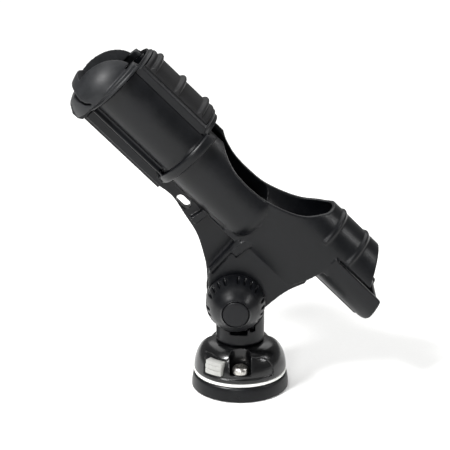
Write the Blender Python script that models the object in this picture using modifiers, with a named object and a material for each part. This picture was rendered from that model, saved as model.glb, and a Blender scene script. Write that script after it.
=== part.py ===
"""Rod holder: tilting cradle on a quick-release swivel base.

Row frame: origin at the centre of the base's underside, +Z up, metres.
The cradle's nose points to -X and up; the clamp knob is on the -Y side.
Lengths below are millimetres; finish() turns them into metres.

The cradle pieces are modelled level. A place on them is (a, u): a is the
length along the tube towards the nose and u the height over the tube's base
line, so a level point is x = -a, z = u. finish() tilts them on the clamp axis.
"""
import itertools
import math

import bmesh
import bpy
from mathutils import Matrix, Vector

MM = 0.001
WELD = 0.002                     # vertices closer than this become one
MERGE = 0.0001                   # merge distance of the Screw modifiers
GAP = 0.3                        # clearance between neighbouring pieces
SEG = 36                         # facets round a full turn of a large piece
FAR = 60.0                       # how far a through cut runs out each side
ROUND = 0.8                      # small edge bevel

# base
FOOT_R = 36.0                    # foot radius, the size the whole part is scaled by
FOOT_H = 11.0
FOOT_FLOOR = 6.0                 # thickness left under the socket
RING_H = 2.2                     # white seal ring
DOME_R = FOOT_R - 1.7            # widest radius of the dome cover
DOME_TOP = 36.5
SPIGOT_R = 14.0                  # round spigot on the swivel post
SPIGOT_END = FOOT_FLOOR + 0.5
SOCKET_R = SPIGOT_R + 0.4
CATCH_DEPTH = 1.8                # catch groove in the spigot
SCREW_CIRCLE_R = FOOT_R - 9.5
SCREW_R = 2.4
SCREW_HOLE_R = SCREW_R + 0.4
SCREW_HEAD_R = 6.2
SCREW_HEAD_H = 5.6
SCREW_POCKET_R = SCREW_HEAD_R + 0.7
SCREW_POCKET_WIDE = 1.15         # the pockets are this much wider than deep
SCREW_SEAT = 20.0                # height of the screw head's seat
SCREW_COUNT = 3

# release button and latch
BUTTON_ANGLE = 36.0              # degrees left of the front
BUTTON_HALF = 7.0
BUTTON_Z = (19.0, 28.8)
BUTTON_OUT = DOME_R + 0.5
BUTTON_IN = DOME_R - 9.8
BUTTON_TRAVEL = 2.2
BUTTON_FIT = 0.45                # room round the button
LATCH_Z = (FOOT_H + 0.6, FOOT_H + 2.9)
LATCH_HALF = 5.8
LATCH_R = SPIGOT_R + 3.6
LATCH_HOLE_R = SPIGOT_R + 0.6
LATCH_SHIFT = 2.0                # the ring sits this far towards the button when latched

# swivel post and tilt joint
NECK_R = 17.8
PIVOT_X = -3.6
PIVOT_Z = 73.2
BOLT_R = 4.0
EAR_R = 17.5
EAR_HALF = 8.7                   # half thickness of the ear
DISC_R = EAR_R - 2.0
DISC_T = 1.2                     # friction disc thickness
CHEEK_IN = EAR_HALF + DISC_T + 2 * GAP
CHEEK_OUT = CHEEK_IN + 6.0
BOSS_R = EAR_R + 4.0
FORK_R = BOSS_R + 1.1
SADDLE_R = BOSS_R + 4.0          # concave top of the neck, round the pivot

# cradle: the clamp axis, then the two tubes
PIVOT_A = 54.31
PIVOT_U = 49.21
TILT_REST = 45.0                 # tube angle above level at rest, degrees
FRONT_U = 105.5                  # height of the front tube's axis
FRONT_R = 27.0
WALL = 3.5
FRONT_A = 93.0                   # where the front tube's round back end starts
TUBE_END = 225.7                 # front end of the front tube
REAR_U = 125.6
REAR_R = 23.5
REAR_WALL = 3.0
REAR_END = -12.0                 # back end of the rear tube's upper half
TROUGH_R = REAR_R + 1.1
TROUGH_END = -34.0
SLOT_HALF = 15.0                 # half width of the top slot
SLOT_U = FRONT_U + 6.5           # floor of the top slot
SHELL_HALF = 24.2                # half width of the deep middle shell
SHELL_DEPTH = 52.0
SHELL_U = 122.0
SHELL_WALL = 3.3
KEEL_HALF = 10.0
KEEL_U = FRONT_U - FRONT_R - 10.0
WEB_HALF = 4.5
RAIL_ANGLE = 58.0                # stop rails, degrees below level
RIB_A = (41.9, 18.7)             # ribs round the rear tube
LANYARD_A = 131.5
LANYARD_U = 73.3
LANYARD_R = 3.1
LANYARD_LONG = 3.0               # half distance between the slot's two centres

# flange ring, collar and nose
RING_A = (152.0, 159.2)
RING_R = FRONT_R + 5.5
TRACK = (FRONT_R + 0.9, FRONT_R + 2.5)
TRACK_SPAN = 54.0                # degrees below level where the track stops
TONGUE = (FRONT_R + 1.2, FRONT_R + 2.2)
TONGUE_OUT = 1.2                 # how far a tongue reaches into the ring's track
COLLAR_A = (RING_A[1] + 2.1, TUBE_END - 0.5)
COLLAR_IN = FRONT_R + 0.4
COLLAR_OUT = COLLAR_IN + 2.2
GRIP_OUT = COLLAR_OUT + 1.6
GRIP_MARGIN = 1.9                # grip's distance from each end of the collar
GRIP_RIB_R = GRIP_OUT + 2.5
GRIP_RIB_HALF = 2.3
COLLAR_HALF = FRONT_R - 4.9      # flat sides of the collar
NOSE_A = TUBE_END + GAP
NOSE_R = FRONT_R + 4.0
NOSE_LONG = 24.0
NOSE_U = FRONT_U - 10.0
NOSE_SLOT_U = FRONT_U - 17.5
RING_TIP = 40.0                  # the ring and the nose flange end this far up, in degrees

# clamp knob
WASHER_R = 12.0
WASHER_T = 1.8
KNOB_BACK = CHEEK_OUT + GAP + WASHER_T + 1.0
KNOB_DEEP = 24.8
KNOB_FRONT = KNOB_BACK + KNOB_DEEP
KNOB_R = 21.7
CAP_R = 9.3
CAP_T = 3.6
INSERT_R = 7.0
KNOB_GROUPS = 5
KNOB_SLOTS = 4
KNOB_FIRST = 62.0
KNOB_PITCH = 14.5

PLAIN = Matrix.Identity(4)
CROSS = Matrix.Rotation(math.radians(90.0), 4, "X")
ALONG = Matrix.Rotation(math.radians(-90.0), 4, "Y")
TILTED = (Matrix.Translation((PIVOT_X, 0.0, PIVOT_Z))
          @ Matrix.Rotation(math.radians(TILT_REST), 4, "Y")
          @ Matrix.Translation((PIVOT_A, 0.0, -PIVOT_U)))
AIMED = Matrix.Rotation(math.radians(-BUTTON_ANGLE), 4, "Z")
CLAMP = Matrix.Translation((PIVOT_X, 0.0, PIVOT_Z)) @ CROSS
CRADLE_CLAMP = Matrix.Translation((-PIVOT_A, 0.0, PIVOT_U)) @ CROSS
FRONT = Matrix.Translation((0.0, 0.0, FRONT_U)) @ ALONG
REAR = Matrix.Translation((0.0, 0.0, REAR_U)) @ ALONG

PIVOT = Vector((PIVOT_X, 0.0, PIVOT_Z))
TURNS = itertools.count(1)


def clear_scene():
    """Remove everything from the start-up scene."""
    for obj in list(bpy.data.objects):
        bpy.data.objects.remove(obj, do_unlink=True)


def collection(name):
    """A new collection in the scene."""
    made = bpy.data.collections.new(name)
    bpy.context.scene.collection.children.link(made)
    return made


def material(name, colour, roughness, metallic=0.0):
    """A Principled material in one colour."""
    mat = bpy.data.materials.new(name)
    mat.use_nodes = True
    node = mat.node_tree.nodes["Principled BSDF"]
    node.inputs["Base Color"].default_value = (*colour, 1.0)
    node.inputs["Roughness"].default_value = roughness
    node.inputs["Metallic"].default_value = metallic
    return mat


def phase():
    """Small turn that differs for each round piece.

    Facet edges of two pieces then never line up where a Boolean meets them.
    """
    return Matrix.Rotation(math.radians(0.37 * next(TURNS)), 4, "Z")


def solid(name, bm, frame):
    """Wrap a bmesh as an object, moved by frame, closed and facing outwards."""
    bmesh.ops.transform(bm, matrix=frame, verts=bm.verts)
    bmesh.ops.remove_doubles(bm, verts=bm.verts, dist=MERGE)
    loose = [edge for edge in bm.edges if not edge.link_faces]
    bmesh.ops.delete(bm, geom=loose, context="EDGES")
    bmesh.ops.recalc_face_normals(bm, faces=bm.faces)
    mesh = bpy.data.meshes.new(name)
    bm.to_mesh(mesh)
    bm.free()
    obj = bpy.data.objects.new(name, mesh)
    obj.display_type = "WIRE"
    obj.hide_render = True
    bpy.data.collections["cutters"].objects.link(obj)
    return obj


def evaluated(obj):
    """New mesh of an object as its modifiers or curve settings make it."""
    bpy.context.view_layer.update()
    graph = bpy.context.evaluated_depsgraph_get()
    return bpy.data.meshes.new_from_object(obj.evaluated_get(graph))


def made_from(name, data, frame, modify=None):
    """Solid from a curve, or from a profile that a modifier turns."""
    guide = bpy.data.objects.new(name, data)
    bpy.data.collections["cutters"].objects.link(guide)
    if modify:
        modify(guide)
    mesh = evaluated(guide)
    bpy.data.objects.remove(guide, do_unlink=True)
    bm = bmesh.new()
    bm.from_mesh(mesh)
    bpy.data.meshes.remove(mesh)
    return solid(name, bm, frame)


def turned(name, profile, frame=PLAIN, seg=SEG):
    """Turn a (height, radius) profile about Z with a Screw modifier.

    The profile runs from axis to axis, or is closed where it stays off it.
    """
    points = list(profile)
    if points[0][1] > 0.0:
        points.append(points[0])
    mesh = bpy.data.meshes.new(name)
    edges = [(k, k + 1) for k in range(len(points) - 1)]
    mesh.from_pydata([(r, 0.0, z) for z, r in points], edges, [])

    def screw(guide):
        mod = guide.modifiers.new("turn", "SCREW")
        mod.steps = seg
        mod.render_steps = seg
        mod.use_merge_vertices = True
        mod.merge_threshold = MERGE

    return made_from(name, mesh, frame @ phase(), screw)


def disc(name, radius, low, high, frame=PLAIN, seg=SEG, squash=1.0):
    """Cylinder on the frame's Z axis, wider by squash across its X."""
    bm = bmesh.new()
    place = (Matrix.Diagonal((squash, 1.0, 1.0, 1.0)) @ phase()
             @ Matrix.Translation((0.0, 0.0, (low + high) / 2)))
    bmesh.ops.create_cone(bm, cap_ends=True, segments=seg, radius1=radius, radius2=radius,
                          depth=high - low, matrix=place)
    return solid(name, bm, frame)


def ball(name, centre, radii, seg=32, rings=16):
    """Ellipsoid."""
    bm = bmesh.new()
    place = Matrix.Translation(centre) @ Matrix.Diagonal((*radii, 1.0))
    bmesh.ops.create_uvsphere(bm, u_segments=seg, v_segments=rings, radius=1.0, matrix=place)
    return solid(name, bm, PLAIN)


def block(name, x, y, z, frame=PLAIN):
    """Box between the two ends of each range."""
    bm = bmesh.new()
    middle = [(low + high) / 2 for low, high in (x, y, z)]
    size = [high - low for low, high in (x, y, z)]
    place = Matrix.Translation(middle) @ Matrix.Diagonal((*size, 1.0))
    bmesh.ops.create_cube(bm, size=1.0, matrix=place)
    return solid(name, bm, frame)


def plate(name, outline, half, frame=CROSS):
    """Flat (x, z) outline as a filled curve, extruded half to each side."""
    curve = bpy.data.curves.new(name, "CURVE")
    curve.dimensions = "2D"
    curve.fill_mode = "BOTH"
    curve.extrude = half
    spline = curve.splines.new("POLY")
    spline.points.add(len(outline) - 1)
    for point, (x, z) in zip(spline.points, outline):
        point.co = (x, z, 0.0, 1.0)
    spline.use_cyclic_u = True
    return made_from(name, curve, frame)


def tube_plate(name, outline, half):
    """Plate from an outline in cradle places (a, u)."""
    return plate(name, [(-a, u) for a, u in outline], half)


def wire(name, points, radius, frame=PLAIN):
    """Round wire along points, a curve with a bevel and filled caps."""
    curve = bpy.data.curves.new(name, "CURVE")
    curve.dimensions = "3D"
    curve.bevel_depth = radius
    curve.bevel_resolution = 1
    curve.use_fill_caps = True
    spline = curve.splines.new("POLY")
    spline.points.add(len(points) - 1)
    for point, place in zip(spline.points, points):
        point.co = (*place, 1.0)
    return made_from(name, curve, frame)


def weld(mesh, frame=None):
    """Merge the slivers a Boolean leaves, then optionally tidy and transform."""
    bm = bmesh.new()
    bm.from_mesh(mesh)
    bmesh.ops.remove_doubles(bm, verts=bm.verts, dist=WELD)
    bmesh.ops.dissolve_degenerate(bm, edges=bm.edges, dist=WELD)
    bmesh.ops.triangulate(bm, faces=[face for face in bm.faces if len(face.verts) > 4])
    if frame is not None:
        bmesh.ops.dissolve_limit(bm, angle_limit=math.radians(0.2), verts=bm.verts, edges=bm.edges)
        bmesh.ops.triangulate(bm, faces=[face for face in bm.faces if len(face.verts) > 4])
        bmesh.ops.transform(bm, matrix=frame, verts=bm.verts)
    bm.to_mesh(mesh)
    bm.free()


def combine(target, tool, mode):
    """Boolean the tool into the target and remove the tool."""
    mod = target.modifiers.new(mode, "BOOLEAN")
    mod.operation = mode
    mod.solver = "EXACT"
    mod.object = tool
    mesh = evaluated(target)
    target.modifiers.clear()
    weld(mesh)
    old = target.data
    target.data = mesh
    bpy.data.meshes.remove(old)
    bpy.data.objects.remove(tool, do_unlink=True)
    return target


def cut(target, *tools):
    """Take each tool away from the target."""
    for tool in tools:
        combine(target, tool, "DIFFERENCE")
    return target


def join(target, *tools):
    """Add each tool to the target."""
    for tool in tools:
        combine(target, tool, "UNION")
    return target


def finish(obj, mat, origin=(0.0, 0.0, 0.0), frame=PLAIN):
    """Move a piece into the row frame, in metres, with its origin on its joint."""
    origin = Vector(origin)
    weld(obj.data, Matrix.Scale(MM, 4) @ Matrix.Translation(-origin) @ frame)
    obj.location = origin * MM
    obj.data.shade_smooth()
    obj.data.set_sharp_from_angle(angle=math.radians(32.0))
    obj.data.materials.clear()
    obj.data.materials.append(mat)
    obj.display_type = "TEXTURED"
    obj.hide_render = False
    bpy.data.collections["cutters"].objects.unlink(obj)
    bpy.data.collections["rod_holder"].objects.link(obj)


def arc(centre, radii, start, end, steps):
    """Points on an ellipse, from one angle to another, in degrees."""
    points = []
    for k in range(steps + 1):
        t = math.radians(start + (end - start) * k / steps)
        points.append((centre[0] + radii[0] * math.sin(t), centre[1] + radii[1] * math.cos(t)))
    return points


def stadium(centre, half, radius, steps=7):
    """Outline of a slot whose two ends are half circles."""
    points = []
    for side in (1.0, -1.0):
        for k in range(steps + 1):
            t = math.pi * (k / steps - 0.5)
            points.append((centre[0] + side * (half + radius * math.cos(t)),
                           centre[1] + side * radius * math.sin(t)))
    return points


def screw_places():
    """Number, turn and centre of each mounting screw."""
    for number in range(SCREW_COUNT):
        turn = math.radians(360.0 / SCREW_COUNT * number)
        yield number + 1, turn, (SCREW_CIRCLE_R * math.sin(turn), -SCREW_CIRCLE_R * math.cos(turn))


def dome_profile(low, lip):
    """Closed section of the dome cover: socket, underside, lip and crown."""
    neck = NECK_R + 0.4
    points = [(low, SOCKET_R), (low, FOOT_R - 5.8), (lip, FOOT_R - 5.8), (lip, DOME_R - 0.5)]
    for k in range(10):
        t = math.radians(10.0 * k)
        points.append((lip + 1.2 + (DOME_TOP - lip - 1.2) * math.sin(t),
                       neck + (DOME_R - neck) * math.cos(t) ** 0.9))
    points.append((DOME_TOP, SOCKET_R))
    return points


def build_base(mats):
    """Foot, gasket, seal ring, dome cover and screws."""
    ring_low = FOOT_H + GAP
    ring_high = ring_low + RING_H
    foot = turned("base_foot", [
        (0.0, 0.0), (0.0, FOOT_R - 0.6), (0.6, FOOT_R), (0.6 * FOOT_H, FOOT_R - 0.2),
        (FOOT_H - 1.2, FOOT_R - 0.8), (FOOT_H, FOOT_R - 2.0), (FOOT_H, 0.0)])
    cut(foot, disc("socket", SOCKET_R, FOOT_FLOOR, FOOT_H + 9.0))
    cut(foot, turned("groove", [(-1.0, FOOT_R - 6.3), (-1.0, FOOT_R - 2.7),
                                (1.8, FOOT_R - 2.7), (1.8, FOOT_R - 6.3)]))
    gasket = turned("deck_gasket", [(0.0, FOOT_R - 6.0), (0.0, FOOT_R - 3.0),
                                    (1.5, FOOT_R - 3.0), (1.5, FOOT_R - 6.0)])
    seal_r = DOME_R - 0.1
    ring = turned("seal_ring", [
        (ring_low, FOOT_R - 5.4), (ring_low, seal_r - 0.5), (ring_low + 0.5, seal_r),
        (ring_high - 0.5, seal_r), (ring_high, seal_r - 0.5), (ring_high, FOOT_R - 5.4)])
    dome = turned("port_cover", dome_profile(ring_low, ring_high + GAP))
    for _, turn, (x, y) in screw_places():
        here = Matrix.Translation((x, y, 0.0))
        faced = Matrix.Rotation(turn, 4, "Z")
        mouth = SCREW_POCKET_R * SCREW_POCKET_WIDE - 0.15
        cut(dome, disc("pocket", SCREW_POCKET_R, SCREW_SEAT, FAR, here @ faced, 24,
                       SCREW_POCKET_WIDE))
        cut(dome, block("mouth", (-mouth, mouth), (-FAR, -SCREW_CIRCLE_R), (SCREW_SEAT, FAR - 1.0),
                        faced))
        cut(dome, disc("hole", SCREW_HOLE_R, -5.0, FAR - 5.0, here, 12))
        cut(foot, disc("hole", SCREW_HOLE_R, -5.0, FAR - 5.0, here, 12))
    # room for the latch ring in both of its places, its arm and the button
    room = LATCH_R + 0.9 + BUTTON_TRAVEL / 2
    middle = Matrix.Translation((0.0, BUTTON_TRAVEL / 2 - LATCH_SHIFT, 0.0))
    cut(dome, disc("ring_room", room, FOOT_H - 1.0, LATCH_Z[1] + 0.5, AIMED @ middle))
    half = LATCH_HALF + 0.6
    reach = BUTTON_IN + 4.1
    cut(dome, block("arm_room", (-half - 0.1, half + 0.1), (-reach, -10.0),
                    (FOOT_H - 1.1, LATCH_Z[1] + 0.6), AIMED))
    cut(dome, block("stem_room", (-half, half), (0.1 - reach, 3.9 - BUTTON_IN),
                    (FOOT_H - 1.2, BUTTON_Z[0] + 2.2), AIMED))
    half = BUTTON_HALF + BUTTON_FIT
    cut(dome, block("button_room", (-half, half), (-BUTTON_OUT - 10.0, 4.0 - BUTTON_IN),
                    (BUTTON_Z[0] - 0.5, BUTTON_Z[1] + 0.5), AIMED))
    spring_place = AIMED @ Matrix.Translation((0.0, 0.0, sum(BUTTON_Z) / 2)) @ CROSS
    cut(dome, disc("spring_room", 3.4, LATCH_R, BUTTON_IN + 1.5, spring_place, 20))
    finish(foot, mats["nylon"])
    finish(gasket, mats["rubber"])
    finish(ring, mats["seal"])
    finish(dome, mats["gloss"])
    for number, _, (x, y) in screw_places():
        seat = SCREW_SEAT + GAP
        here = Matrix.Translation((x, y, 0.0))
        screw = turned("mounting_screw_%d" % number, [
            (0.8, 0.0), (0.8, SCREW_R - 0.7), (1.8, SCREW_R), (seat, SCREW_R),
            (seat, SCREW_HEAD_R), (seat + 0.4 * SCREW_HEAD_H, SCREW_HEAD_R),
            (seat + 0.7 * SCREW_HEAD_H, SCREW_HEAD_R - 1.0),
            (seat + 0.92 * SCREW_HEAD_H, SCREW_HEAD_R - 3.0), (seat + SCREW_HEAD_H, 0.0)], here, 18)
        spin = here @ Matrix.Rotation(0.7 * number, 4, "Z")
        long, short = SCREW_HEAD_R - 3.2, 0.7
        deep, over = seat + 0.5 * SCREW_HEAD_H, seat + SCREW_HEAD_H + 2.0
        cut(screw, block("cross", (-long, long), (-short, short), (deep, over), spin))
        cut(screw, block("cross", (-short, short), (-long, long), (deep, over + 0.1), spin))
        finish(screw, mats["steel"], (x, y, 0.0))


def build_release(mats):
    """Button, its latch ring and the spring behind it."""
    origin = AIMED @ Vector((0.0, -BUTTON_IN, sum(BUTTON_Z) / 2))
    button = block("release_button", (-BUTTON_HALF, BUTTON_HALF), (-BUTTON_OUT - 1.0, -BUTTON_IN),
                   BUTTON_Z, AIMED)
    low, high = BUTTON_Z[0] - 5.0, BUTTON_Z[1] + 5.0
    cut(button, turned("skin", [(low, BUTTON_OUT), (low, FAR), (high, FAR), (high, BUTTON_OUT)],
                       seg=96))
    for across in (-5.1, -1.7, 1.7, 5.1):
        cut(button, block("grip", (across - 0.6, across + 0.6), (-FAR, -BUTTON_OUT + 0.8),
                          (low, high), AIMED))
    finish(button, mats["button"], origin)
    z0, z1 = LATCH_Z
    centre = AIMED @ Matrix.Translation((0.0, -LATCH_SHIFT, 0.0))
    latch = disc("latch_plate", LATCH_R, z0, z1, centre)
    arm_end = BUTTON_IN + 2.9
    join(latch, block("arm", (-LATCH_HALF, LATCH_HALF), (-arm_end, -LATCH_HOLE_R + 0.6), (z0, z1),
                      AIMED))
    join(latch, block("stem", (-LATCH_HALF, LATCH_HALF), (-arm_end, 2.6 - arm_end),
                      (z0 + 0.5, BUTTON_Z[0] - GAP), AIMED))
    cut(latch, disc("hole", LATCH_HOLE_R, 0.0, 20.0, centre))
    finish(latch, mats["steel"], origin)
    # coil spring between the socket wall and the button's back
    turns, steps, coil_r, wire_r = 4.0, 40, 2.4, 0.5
    start, end = SPIGOT_R + 4.6, BUTTON_IN - GAP - wire_r
    middle = sum(BUTTON_Z) / 2
    coil = []
    for k in range(steps + 1):
        t = 2 * math.pi * turns * k / steps
        coil.append((coil_r * math.cos(t), -start - (end - start) * k / steps,
                     middle + coil_r * math.sin(t)))
    finish(wire("latch_spring", coil, wire_r, AIMED), mats["steel"], origin)


def build_post(mats):
    """Swivel post with its ear, and the O-ring on its spigot."""
    top = DOME_TOP + GAP
    catch = SPIGOT_R - CATCH_DEPTH
    axis = (0.0, 0.0, 30.0)
    post = turned("swivel_post", [
        (top, 0.0), (top, NECK_R - ROUND), (top + ROUND, NECK_R), (PIVOT_Z - 6.0, NECK_R),
        (PIVOT_Z - 6.0, 0.0)])
    cut(post, disc("saddle", SADDLE_R, -40.0, 40.0, CLAMP, 48))
    join(post, disc("ear", EAR_R, -EAR_HALF, EAR_HALF, CLAMP))
    join(post, block("stalk", (PIVOT_X + 3.5 - EAR_R, PIVOT_X + EAR_R - 3.5),
                     (0.05 - EAR_HALF, EAR_HALF - 0.05), (top + 2.0, PIVOT_Z - 3.0)))
    join(post, turned("spigot", [
        (SPIGOT_END, 0.0), (SPIGOT_END, SPIGOT_R - 1.2), (SPIGOT_END + 1.2, SPIGOT_R),
        (FOOT_H, SPIGOT_R), (FOOT_H, catch), (LATCH_Z[1] + 0.6, catch),
        (LATCH_Z[1] + 0.6, SPIGOT_R), (28.0, SPIGOT_R), (28.0, catch), (30.4, catch),
        (30.4, SPIGOT_R), (top + 3.0, SPIGOT_R), (top + 3.0, 0.0)]))
    cut(post, disc("bore", BOLT_R + 0.4, -30.0, 30.0, CLAMP, 24))
    finish(post, mats["nylon"], axis)
    seal = turned("spigot_seal", [
        (29.2 + 0.85 * math.sin(math.pi * k / 3), SPIGOT_R - 0.65 + 0.85 * math.cos(math.pi * k / 3))
        for k in range(6)], seg=24)
    finish(seal, mats["rubber"], axis)


def build_tubes():
    """Front tube with a round back end, deep middle shell, rear tube and trough."""
    end = arc((FRONT_A, 0.0), (-16.0, FRONT_R), 0.0, 90.0, 6)
    body = turned("holder_body", [(TUBE_END, 0.0), (TUBE_END, FRONT_R), *end[:-1],
                                  (FRONT_A - 16.0, 0.0)], FRONT)
    shell_frame = Matrix.Translation((0.0, 0.0, SHELL_U)) @ ALONG
    squash = SHELL_DEPTH / SHELL_HALF
    shell = disc("shell", SHELL_HALF, 31.5, 98.0, shell_frame, SEG, squash)
    cut(shell, tube_plate("under", [
        (20.0, 60.0), (110.0, 60.0), (110.0, 80.5), (47.0, 80.5), (38.0, 82.0), (33.5, 88.0),
        (29.5, 98.0), (27.0, 110.0), (20.0, 110.0)], FAR))
    cut(shell, tube_plate("over", [(20.0, 122.3), (120.0, 122.3), (120.0, 190.0), (20.0, 190.0)],
                          FAR))
    trough = disc("trough", TROUGH_R, TROUGH_END, 27.5, REAR)
    cut(trough, tube_plate("top", [(-60.0, 125.0), (60.0, 125.0), (60.0, 190.0), (-60.0, 190.0)],
                           FAR))
    join(body, shell, disc("rear", REAR_R, REAR_END, 104.0, REAR), trough)
    return body


def tips(radius, a0, a1):
    """Cutter that ends a ring of this radius on both sides of the slot."""
    top = FRONT_U + radius * math.sin(math.radians(RING_TIP))
    return tube_plate("tips", [(a0 - 5.0, top + 1.5), (a1 + 5.0, top - 1.5), (a1 + 5.0, top + FAR),
                               (a0 - 5.0, top + FAR)], FAR)


def build_outside(body):
    """Flange ring, ribs, keel, stop rails, web, cheeks and cross ribs."""
    a0, a1 = RING_A
    ring = turned("ring", [(a0, 0.0), (a0, RING_R - ROUND), (a0 + ROUND, RING_R),
                           (a1 - ROUND, RING_R), (a1, RING_R - ROUND), (a1, 0.0)], FRONT)
    join(body, cut(ring, tips(RING_R, a0, a1)))
    for a in RIB_A:
        rib = turned("rib", [(a - 2.0, REAR_R - 1.5), (a - 2.0, REAR_R), (a - 1.0, REAR_R + 1.3),
                             (a + 1.0, REAR_R + 1.3), (a + 2.0, REAR_R), (a + 2.0, REAR_R - 1.5)],
                     REAR)
        cut(rib, tube_plate("under", [(a - 8.0, 60.0), (a + 8.0, 60.0), (a + 8.0, REAR_U + 1.4),
                                      (a - 8.0, REAR_U + 1.4)], FAR))
        join(body, rib)
    for half, low, short in ((KEEL_HALF, KEEL_U + 2.5, 0.1), (KEEL_HALF - 2.8, KEEL_U, 0.2)):
        join(body, tube_plate("keel", [(a0 + 0.5, low), (TUBE_END - short, low),
                                       (TUBE_END - short, FRONT_U - FRONT_R + 7.5),
                                       (a0 + 0.5, FRONT_U - FRONT_R + 7.5)], half))
    for side in (-1.0, 1.0):
        turn = (Matrix.Translation((0.0, 0.0, FRONT_U))
                @ Matrix.Rotation(side * math.radians(90.0 + RAIL_ANGLE), 4, "X"))
        join(body, block("rail", (0.3 - TUBE_END, 0.3 - a1), (-1.1, 1.1),
                         (FRONT_R - 1.9, GRIP_OUT - 0.2), turn))
    join(body, tube_plate("web", [
        (153.8, 68.9), (140.6, 70.6), (131.8, 69.2), (124.2, 67.0), (108.0, 62.9), (94.5, 55.9),
        (83.9, 48.8), (69.3, 35.5), (56.6, 28.3), (40.7, 35.6), (32.5, 49.5), (34.7, 61.6),
        (33.9, 72.7), (29.0, 91.1), (24.4, 103.6), (33.9, 107.5), (91.9, 106.1),
        (155.6, 91.9)], WEB_HALF))
    join(body, tube_plate("cheeks", [
        (75.8, 43.0), (83.1, 50.6), (85.5, 84.0), (83.7, 92.6), (65.1, 93.3), (45.3, 96.2),
        (31.0, 97.5), (32.1, 82.6), (33.9, 72.7), (34.7, 61.6), (36.0, 58.0), (44.1, 49.2),
        (67.9, 36.8)], CHEEK_OUT))
    rim = CHEEK_OUT + 0.02
    join(body, turned("boss", [(-rim, 0.0), (-rim, BOSS_R - ROUND), (ROUND - rim, BOSS_R),
                               (rim - ROUND, BOSS_R), (rim, BOSS_R - ROUND), (rim, 0.0)],
                      CRADLE_CLAMP))
    join(body, tube_plate("rib_front", [(119.5, 69.4), (116.3, 86.0), (111.8, 86.0),
                                        (114.0, 68.6)], KEEL_HALF))
    join(body, tube_plate("rib_back", [(83.5, 73.7), (82.8, 85.2), (80.6, 90.0), (77.0, 93.3),
                                       (76.6, 85.0), (78.3, 73.5)], CHEEK_OUT + 1.7))


def build_inside(body):
    """Bores, the well of the middle shell, and the butt stop."""
    bore = FRONT_R - WALL
    end = arc((FRONT_A, 0.0), (-12.5, bore), 0.0, 90.0, 6)
    cut(body, turned("front_bore", [(TUBE_END + 30.0, 0.0), (TUBE_END + 30.0, bore), *end[:-1],
                                    (FRONT_A - 12.5, 0.0)], FRONT))
    rear_bore = REAR_R - REAR_WALL
    cut(body, disc("rear_bore", rear_bore, TROUGH_END - 26.0, 120.0, REAR))
    well_r = SHELL_HALF - SHELL_WALL
    squash = (SHELL_DEPTH - 5.0) / well_r
    well = disc("well", well_r, 38.0, 74.0, Matrix.Translation((0.0, 0.0, SHELL_U)) @ ALONG, SEG,
                squash)
    cut(well, tube_plate("floor", [(20.0, 60.0), (90.0, 60.0), (90.0, 86.5), (44.0, 86.5),
                                   (36.0, 100.0), (20.0, 100.0)], FAR))
    cut(body, well)
    join(body, disc("stop", rear_bore + 1.0, -15.6, -12.4, REAR, 30))
    join(body, tube_plate("tail_rib", [(-19.2, 99.6), (24.0, 99.6), (26.0, 103.2),
                                       (-19.2, 103.2)], 2.0))


def build_openings(body):
    """Everything that goes through the cradle's walls."""
    cut(body, tube_plate("opening", [
        (144.3, 180.0), (144.3, 127.1), (137.5, 123.2), (130.0, 119.8), (123.0, 118.4),
        (104.0, 118.3), (94.0, 119.2), (85.0, 121.8), (77.0, 125.3), (65.7, 131.5),
        (58.0, 139.2), (54.3, 143.1), (52.6, 146.2), (52.0, 180.0)], FAR))
    cut(body, tube_plate("slot", [(140.0, SLOT_U), (TUBE_END + 35.0, SLOT_U),
                                  (TUBE_END + 35.0, 170.0), (140.0, 170.0)], SLOT_HALF))
    cut(body, tube_plate("slant", [(-80.0, REAR_U + 0.3), (-6.3, REAR_U + 0.3), (6.0, 148.6),
                                   (14.0, 163.4), (-80.0, 163.4)], FAR))
    cut(body, tube_plate("slit", [(-80.0, REAR_U - 1.2), (24.0, REAR_U - 1.2),
                                  (26.4, REAR_U - 0.4), (24.0, REAR_U + 0.4),
                                  (-80.0, REAR_U + 0.4)], FAR))
    cut(body, tube_plate("tail_end", [
        (-15.0, 127.4), (-17.2, 125.4), (-20.6, 119.0), (-24.4, 109.0), (-23.4, 104.0),
        (-21.0, 101.0), (-20.0, 96.0), (-80.0, 95.0), (-80.0, 127.4)], FAR))
    cut(body, disc("fork", FORK_R, -CHEEK_IN, CHEEK_IN, CRADLE_CLAMP))
    mouth = [(-PIVOT_A + (x - z) * math.sqrt(0.5), PIVOT_U + (x + z) * math.sqrt(0.5))
             for x, z in ((-26.0, -32.0), (20.0, -32.0), (20.0, -14.0), (-26.0, -14.0))]
    cut(body, plate("fork_mouth", mouth, CHEEK_IN - 0.01))
    cut(body, disc("bolt_hole", BOLT_R + GAP, -30.0, 30.0, CRADLE_CLAMP, 24))
    cut(body, tube_plate("lanyard", stadium((LANYARD_A, LANYARD_U), LANYARD_LONG, LANYARD_R), 20.0))
    cut(body, track_tool(RING_A[1]))


def track_tool(a):
    """Cutter for the groove a collar tongue slides in, open over the top."""
    low, high = TRACK
    tool = turned("track", [(a - 1.8, low), (a - 1.8, high), (a + 2.8, high), (a + 2.8, low)],
                  FRONT)
    stop = FRONT_U - (low + high) / 2 * math.sin(math.radians(TRACK_SPAN))
    return cut(tool, block("below", (-a - 20.0, 20.0 - a), (-FAR, FAR), (0.0, stop)))


def build_holder(mats):
    """The cradle moulding."""
    body = build_tubes()
    build_outside(body)
    build_inside(body)
    build_openings(body)
    finish(body, mats["nylon"], PIVOT, TILTED)


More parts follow.
